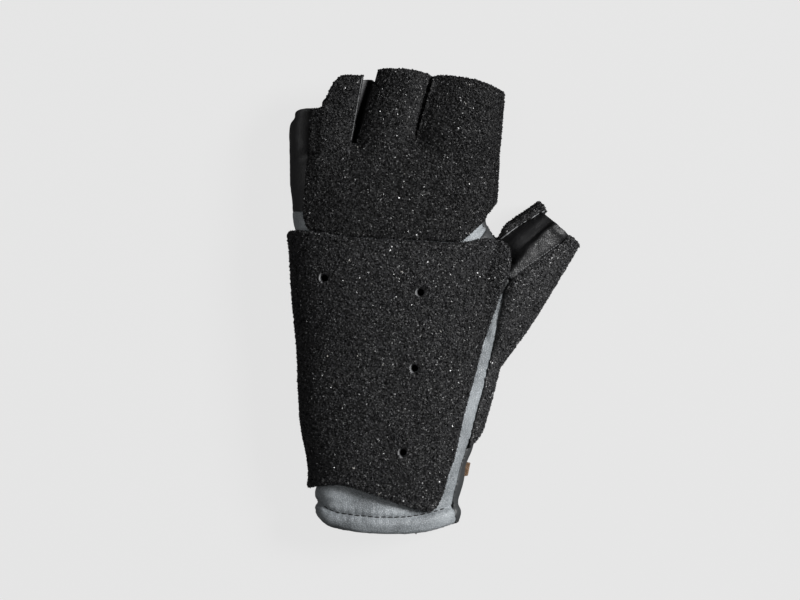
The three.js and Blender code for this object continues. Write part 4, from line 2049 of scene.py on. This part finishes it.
PALM_EDGE = Outline(
    (
        (-47.0, -61.0, 6), (10.0, -61.0, 6), (20.5, -40.0, 10), (33.0, -18.0, 10), (33.0, 22.0, 4),
        (22.0, 40.0, 6), (22.0, 62.0, 5), (-59.0, 62.0, 5), (-57.0, 10.0, 20),
    )
)
TONGUE_EDGE = Outline(
    (
        (28.0, 4.0, 0), (29.4, 28.0, 0), (33.0, 34.0, 0), (43.0, 52.0, 0), (53.5, 42.2, 1),
        (50.4, 37.8, 0), (62.0, 27.4, 1), (58.0, 18.0, 3), (38.0, -12.0, 6),
    )
)
THUMB_SEAM = (
    (16.6, -64.4), (18.9, -54.5), (20.8, -47.1), (23.0, -39.8), (24.4, -32.4), (26.3, -25.1),
    (28.1, -17.7), (29.5, -10.3), (30.9, -3.0), (33.0, 6.0), (36.8, 11.6), (59.2, 26.9), (62.0, 31.0),
)
WRIST_STITCHES = Wrist().stitch[1:-1]
THUMB_STITCHES = ((37.4, 12.6), (58.8, 27.3))
THUMB_RAW_EDGE = ((31.2, 28.6), (41.3, 36.2), (51.7, 42.0))
RING_RAW_EDGE = ((-32.5, 102.6), (-34.9, 88.3), (-37.5, 74.0))


def grip_sheets() -> list[GripSheet]:
    """Lists the four grip sheets.

    Returns:
        The sheets, in the order in which they are built.
    """
    tongue_top, tongue_clear = 17.2, 17.5
    return [
        GripSheet(
            "finger_grip", [(FINGER_EDGE, 11.0, SKY)], GRIP, seed=11, look=Look.FINGER_CRUMB,
            slits=(RING_SLIT, INDEX_SLIT), bridge=3.5,
        ),
        GripSheet(
            "back_grip", [(BACK_EDGE, SIDE_SEAM, SKY)], BACK_GRIP, seed=23, vents=VENTS,
            keep_off=[(TONGUE_EDGE, BELOW, tongue_clear)],
        ),
        GripSheet(
            "thumb_grip", [(THUMB_EDGE, 8.5, SKY)], GRIP, seed=37, look=Look.THUMB_CRUMB,
            ragged=False, pressed=THUMB_SEAM,
        ),
        GripSheet(
            "palm_grip", [(PALM_EDGE, BELOW, 8.0), (TONGUE_EDGE, BELOW, tongue_top)], GRIP, seed=41,
            spacing=0.7, climb=0.15,
        ),
    ]


@dataclass
class Ground:
    """The faces of finished pieces, on which threads and edges are laid from above.

    Attributes:
        pieces: the pieces.
        trees: their search trees.
    """

    pieces: Sequence[bpy.types.Object]
    trees: list[BVHTree] = field(init=False)

    def __post_init__(self) -> None:
        """Builds the search tree of each piece."""
        graph = bpy.context.evaluated_depsgraph_get()
        self.trees = [BVHTree.FromObject(piece, graph) for piece in self.pieces]

    def drop(self, x: float, y: float) -> tuple[Vector, Vector]:
        """Finds the highest face at a place.

        Args:
            x: where to look.
            y: where to look.

        Returns:
            The point in millimetres and the face's upward normal.
        """
        over, down = Vector((x, y, SKY)) * MM, Vector((0, 0, -1))
        hits = [tree.ray_cast(over, down) for tree in self.trees]
        hits = [hit for hit in hits if hit[0] is not None]
        if not hits:
            hits = [self.trees[0].find_nearest(Vector((x, y, 20)) * MM)]
        point, normal, _, _ = max(hits, key=lambda hit: hit[0].z)
        return point / MM, normal if normal.z > 0 else -normal


def dressed(piece: bpy.types.Object, name: str, material: bpy.types.Material) -> bpy.types.Object:
    """Names a piece, gives it its material and a smooth face and lets it ride on the glove.

    Args:
        piece: the finished piece.
        name: its name.
        material: its material.

    Returns:
        The same piece.
    """
    piece.name = name
    piece.data.materials.clear()
    piece.data.materials.append(material)
    only(piece)
    bpy.ops.object.shade_smooth()
    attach(piece, "root")
    LOG.info("%s: %d faces", piece.name, len(piece.data.polygons))
    return piece


@dataclass
class Stitching:
    """A row of stitches laid into a face.

    Attributes:
        name: the row's name.
        line: the X and Y of its corners.
        pitch: from one stitch to the next.
        length: a stitch's length.
        radius: the thread's radius.
        lift: how far the thread's middle lies above the face.
    """

    name: str
    line: Rows
    pitch: float
    length: float
    radius: float
    lift: float

    def build(self, ground: Ground, material: bpy.types.Material) -> bpy.types.Object:
        """Models one stitch, copies it along the line and joins the copies.

        Args:
            ground: the faces that the stitches lie on.
            material: the thread.

        Returns:
            The finished row.
        """
        bpy.ops.mesh.primitive_uv_sphere_add(segments=8, ring_count=6, radius=self.radius * MM)
        first = bpy.context.object
        edit_all(first)
        stretch = (1, 1, self.length / 2 / self.radius)
        bpy.ops.transform.resize(value=stretch, center_override=(0, 0, 0), orient_type="GLOBAL")
        bpy.ops.object.mode_set(mode="OBJECT")
        shape = coordinates(first)
        places = spaced(self.line, self.pitch)
        made = []
        for here, following in zip(places, places[1:], strict=False):
            start, up = ground.drop(*here)
            end, _ = ground.drop(*following)
            middle = start.lerp(end, 0.5) + up * self.lift
            turn = (end - start).to_track_quat("Z", "X").to_matrix()
            copy = twin(first, "stitch")
            place(copy, shape @ np.array(turn).T + np.array(middle))
            made.append(copy)
        discard(first)
        return dressed(fused(*made), self.name, material)


@dataclass
class RawEdge:
    """The light cut edge of a rubber sheet's backing, seen as a broken line.

    Attributes:
        name: the edge's name.
        line: the X and Y of its corners.
        radius: half its width.
        lift: how far its middle lies above the face.
        wobble: how much its width varies.
        pitch: from one ring of its section to the next.
        around: how many corners its section has.
    """

    name: str
    line: Rows
    radius: float
    lift: float
    wobble: float = 0.35
    pitch: float = 0.5
    around: int = 6

    def build(self, ground: Ground, material: bpy.types.Material) -> bpy.types.Object:
        """Sweeps a small round section along the line.

        Args:
            ground: the faces that the edge lies on.
            material: the cut edge.

        Returns:
            The finished edge.
        """
        path = [ground.drop(x, y) for x, y in spaced(self.line, self.pitch)]
        centres = np.array([tuple(p + n * self.lift) for p, n in path])
        for _ in range(6):
            centres[1:-1] = (centres[:-2] + 2 * centres[1:-1] + centres[2:]) / 4
        steps = len(path) - 1
        bpy.ops.mesh.primitive_grid_add(x_subdivisions=self.around, y_subdivisions=steps, size=1)
        edge = bpy.context.object
        grid = coordinates(edge) * MM + 0.5
        row = np.rint(grid[:, 1] * steps).astype(int)
        angle = np.rint(grid[:, 0] * self.around) / self.around * math.tau
        ahead = np.gradient(centres, axis=0)
        ahead /= np.linalg.norm(ahead, axis=1)[:, None]
        side = np.cross(ahead, (0, 0, 1))
        side /= np.linalg.norm(side, axis=1)[:, None]
        up = np.cross(side, ahead)
        width = self.radius * (1 + self.wobble * rolling(centres, 1.3, 8.8))
        round_part = np.cos(angle)[:, None] * side[row] + np.sin(angle)[:, None] * up[row]
        place(edge, centres[row] + round_part * width[row][:, None])
        close_up(edge, 0.005)
        return dressed(edge, self.name, material)


@dataclass
class VentWalls:
    """The smooth slanted walls of the punched vent holes.

    Attributes:
        top: the radius at the top.
        bottom: the radius at the bottom.
        depth: how deep the walls reach.
        aside: how far they lie to the right of the hole's middle.
        wall: their thickness.
        below: how far their top lies below the sheet's face.
        around: how far from the middle that face is measured.
    """

    top: float = 2.55
    bottom: float = 1.6
    depth: float = 2.6
    aside: float = 0.35
    wall: float = 0.35
    below: float = 0.4
    around: float = 3.4

    def build(self, ground: Ground, material: bpy.types.Material) -> bpy.types.Object:
        """Models one funnel and copies it into every hole.

        Args:
            ground: the sheet's face.
            material: the cut rubber.

        Returns:
            The finished walls.
        """
        bpy.ops.mesh.primitive_cone_add(
            vertices=28, radius1=self.bottom * MM, radius2=self.top * MM, depth=self.depth * MM,
            end_fill_type="NOTHING",
        )
        first = bpy.context.object
        finish_with(first, "SOLIDIFY", thickness=self.wall * MM, offset=1.0)
        shape = coordinates(first)
        made = []
        for x, y in VENTS:
            heights = [
                ground.drop(x + self.around * math.cos(a), y + self.around * math.sin(a))[0].z
                for a in np.linspace(0, 6, 12)
            ]
            middle = float(np.median(heights)) - self.depth / 2 - self.below
            copy = twin(first, "vent")
            place(copy, shape + np.array((x + self.aside, y, middle)))
            made.append(copy)
        discard(first)
        return dressed(fused(*made), "vent_walls", material)


@dataclass
class SideTab:
    """The little folded ribbon that stands out of the side seam at the wrist.

    Attributes:
        width: the ribbon's width.
        out: how far it stands out.
        thick: the thickness of the fold.
        spot: where its root lies.
        lean: its turn about +Z, in radians.
    """

    width: float = 6.0
    out: float = 3.6
    thick: float = 1.5
    spot: tuple[float, float, float] = (13.2, -76.6, 14.0)
    lean: float = -0.2

    def build(self, material: bpy.types.Material) -> bpy.types.Object:
        """Thickens a thin plate towards its outer end, draws its lower side out towards the root and
        roughens it.

        Args:
            material: the ribbon.

        Returns:
            The finished tab.
        """
        half, flat = self.width / 2, self.thick / 2
        tab = block((0, -half, -flat), (self.out, half, flat))
        remesh(tab, 0.3, smooth=3)
        points = coordinates(tab)
        points[:, 2] *= 1 + 0.35 * smoothstep(1.5, 3.4, points[:, 0])
        points[:, 1] -= 0.45 * (self.out - points[:, 0]) * (points[:, 1] < -2)
        points[:, 2] += 0.25 * rolling(points, 1.6, 4.4)
        cosine, sine = math.cos(self.lean), math.sin(self.lean)
        x, y = points[:, 0].copy(), points[:, 1].copy()
        points[:, 0] = x * cosine - y * sine
        points[:, 1] = x * sine + y * cosine
        place(tab, points + np.array(self.spot))
        made = dressed(tab, "side_tab_ribbon", material)
        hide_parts("side_tab")
        return made


@dataclass(frozen=True)
class Lamp:
    """A soft square lamp that faces the glove.

    Attributes:
        name: the lamp's name.
        spot: where it hangs, in metres.
        size: its edge in metres.
        power: its power in watts.
    """

    name: str
    spot: tuple[float, float, float]
    size: float
    power: float

    def hang(self) -> None:
        """Adds the lamp."""
        bpy.ops.object.light_add(type="AREA", location=self.spot)
        lamp = bpy.context.object
        lamp.name = self.name
        lamp.data.size = self.size
        lamp.data.energy = self.power
        lamp.rotation_mode = "QUATERNION"
        lamp.rotation_quaternion = (-Vector(self.spot)).to_track_quat("-Z", "Y")


@dataclass
class Studio:
    """The pale floor, the soft lights and the camera that looks straight down.

    Attributes:
        floor_size: the floor's edge in metres.
        floor: the floor's finish.
        lamps: the lamps.
        sky: the strength of the even light all round.
        camera_spot: where the camera hangs, in metres.
        focus_height: the height at which the view has its stated width.
        view_width: how wide the view is at that height.
        sensor: the width of the camera's sensor in millimetres.
    """

    floor_size: float = 6.0
    floor: FloorFinish = FloorFinish(Look.PALE_FLOOR, 0.035, 0.747)
    lamps: tuple[Lamp, ...] = (
        Lamp("key", (2.25, 0.7, 1.85), 0.9, 155.0),
        Lamp("fill", (-1.4, 0.2, 2.4), 2.0, 16.0),
    )
    sky: float = 0.06
    camera_spot: tuple[float, float, float] = (-0.01510, 0.00032, 1.5)
    focus_height: float = 0.018
    view_width: float = 0.368
    sensor: float = 36.0

    def build(self) -> None:
        """Sets up the floor, the lights, the sky and the camera."""
        bpy.ops.mesh.primitive_plane_add(size=self.floor_size, location=(0, 0, 0))
        floor = bpy.context.object
        floor.name = "floor"
        floor.data.materials.append(self.floor.material())
        floor.visible_diffuse = False
        floor.visible_glossy = False
        for lamp in self.lamps:
            lamp.hang()
        world = bpy.data.worlds.new("sky")
        bpy.context.scene.world = world
        world.use_nodes = True
        background = world.node_tree.nodes["Background"]
        background.inputs["Color"].default_value = (1, 1, 1, 1)
        background.inputs["Strength"].default_value = self.sky
        bpy.context.scene.view_settings.view_transform = "Standard"
        self._camera()

    def _camera(self) -> None:
        """Hangs the camera over the middle of the picture."""
        bpy.ops.object.camera_add(location=self.camera_spot, rotation=(0, 0, 0))
        camera = bpy.context.object
        camera.data.sensor_width = self.sensor
        camera.data.lens = self.sensor * (self.camera_spot[2] - self.focus_height) / self.view_width
        bpy.context.scene.camera = camera


def trimmings(
    hem: Ground,
    thumb: bpy.types.Object,
    sheets: dict[str, bpy.types.Object],
    finishes: dict[Look, bpy.types.Material],
) -> None:
    """Lays the stitching, the raw edges, the vents' walls and the tab on the finished pieces.

    Args:
        hem: the face of the light leather.
        thumb: the thumb's stall.
        sheets: the rubber sheets, by the solid that they stand for.
        finishes: the materials.
    """
    thread, backing = finishes[Look.BLACK_THREAD], finishes[Look.PALE_BACKING]
    cut = finishes[Look.CUT_RUBBER]
    Stitching("wrist_stitching", WRIST_STITCHES, 3.0, 2.6, 0.3, 0.2).build(hem, thread)
    Stitching("thumb_stitching", THUMB_STITCHES, 1.3, 0.8, 0.16, 0.15).build(Ground([thumb]), backing)
    tongue, fingers = Ground([sheets["palm_grip"], thumb]), Ground([sheets["finger_grip"]])
    RawEdge("thumb_raw_edge", THUMB_RAW_EDGE, 0.3, 0.15, 0.9).build(tongue, backing)
    RawEdge("ring_raw_edge", RING_RAW_EDGE, 0.16, 0.05).build(fingers, cut)
    VentWalls().build(Ground([sheets["back_grip"]]), cut)
    SideTab().build(finishes[Look.TAN_RIBBON])


def main() -> None:
    """Builds the glove round the frame, piece by piece, and the studio round it."""
    logging.basicConfig(level=logging.INFO, format="%(name)s: %(message)s")
    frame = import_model()
    LOG.info("frame with %d nodes", len(frame["nodes"]))
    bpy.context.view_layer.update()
    Studio().build()
    before = {thing.name for thing in bpy.data.objects}
    finishes = glove_finishes()
    skin = Skin()
    leathers = Leathers(skin, finishes)
    hem = Ground([leathers.back()])
    leathers.palm()
    leathers.stalls()
    thumb = leathers.thumb()
    discard(leathers.shell)
    sheets = {sheet.node: sheet.build(skin, finishes[sheet.look]) for sheet in grip_sheets()}
    trimmings(hem, thumb, sheets, finishes)
    skin.clear()
    for thing in bpy.data.objects:
        if thing.type == "MESH" and thing.name not in before:
            place(thing, coordinates(thing) + np.array(TABLE_TO_FRAME))


if __name__ == "__main__":
    main()
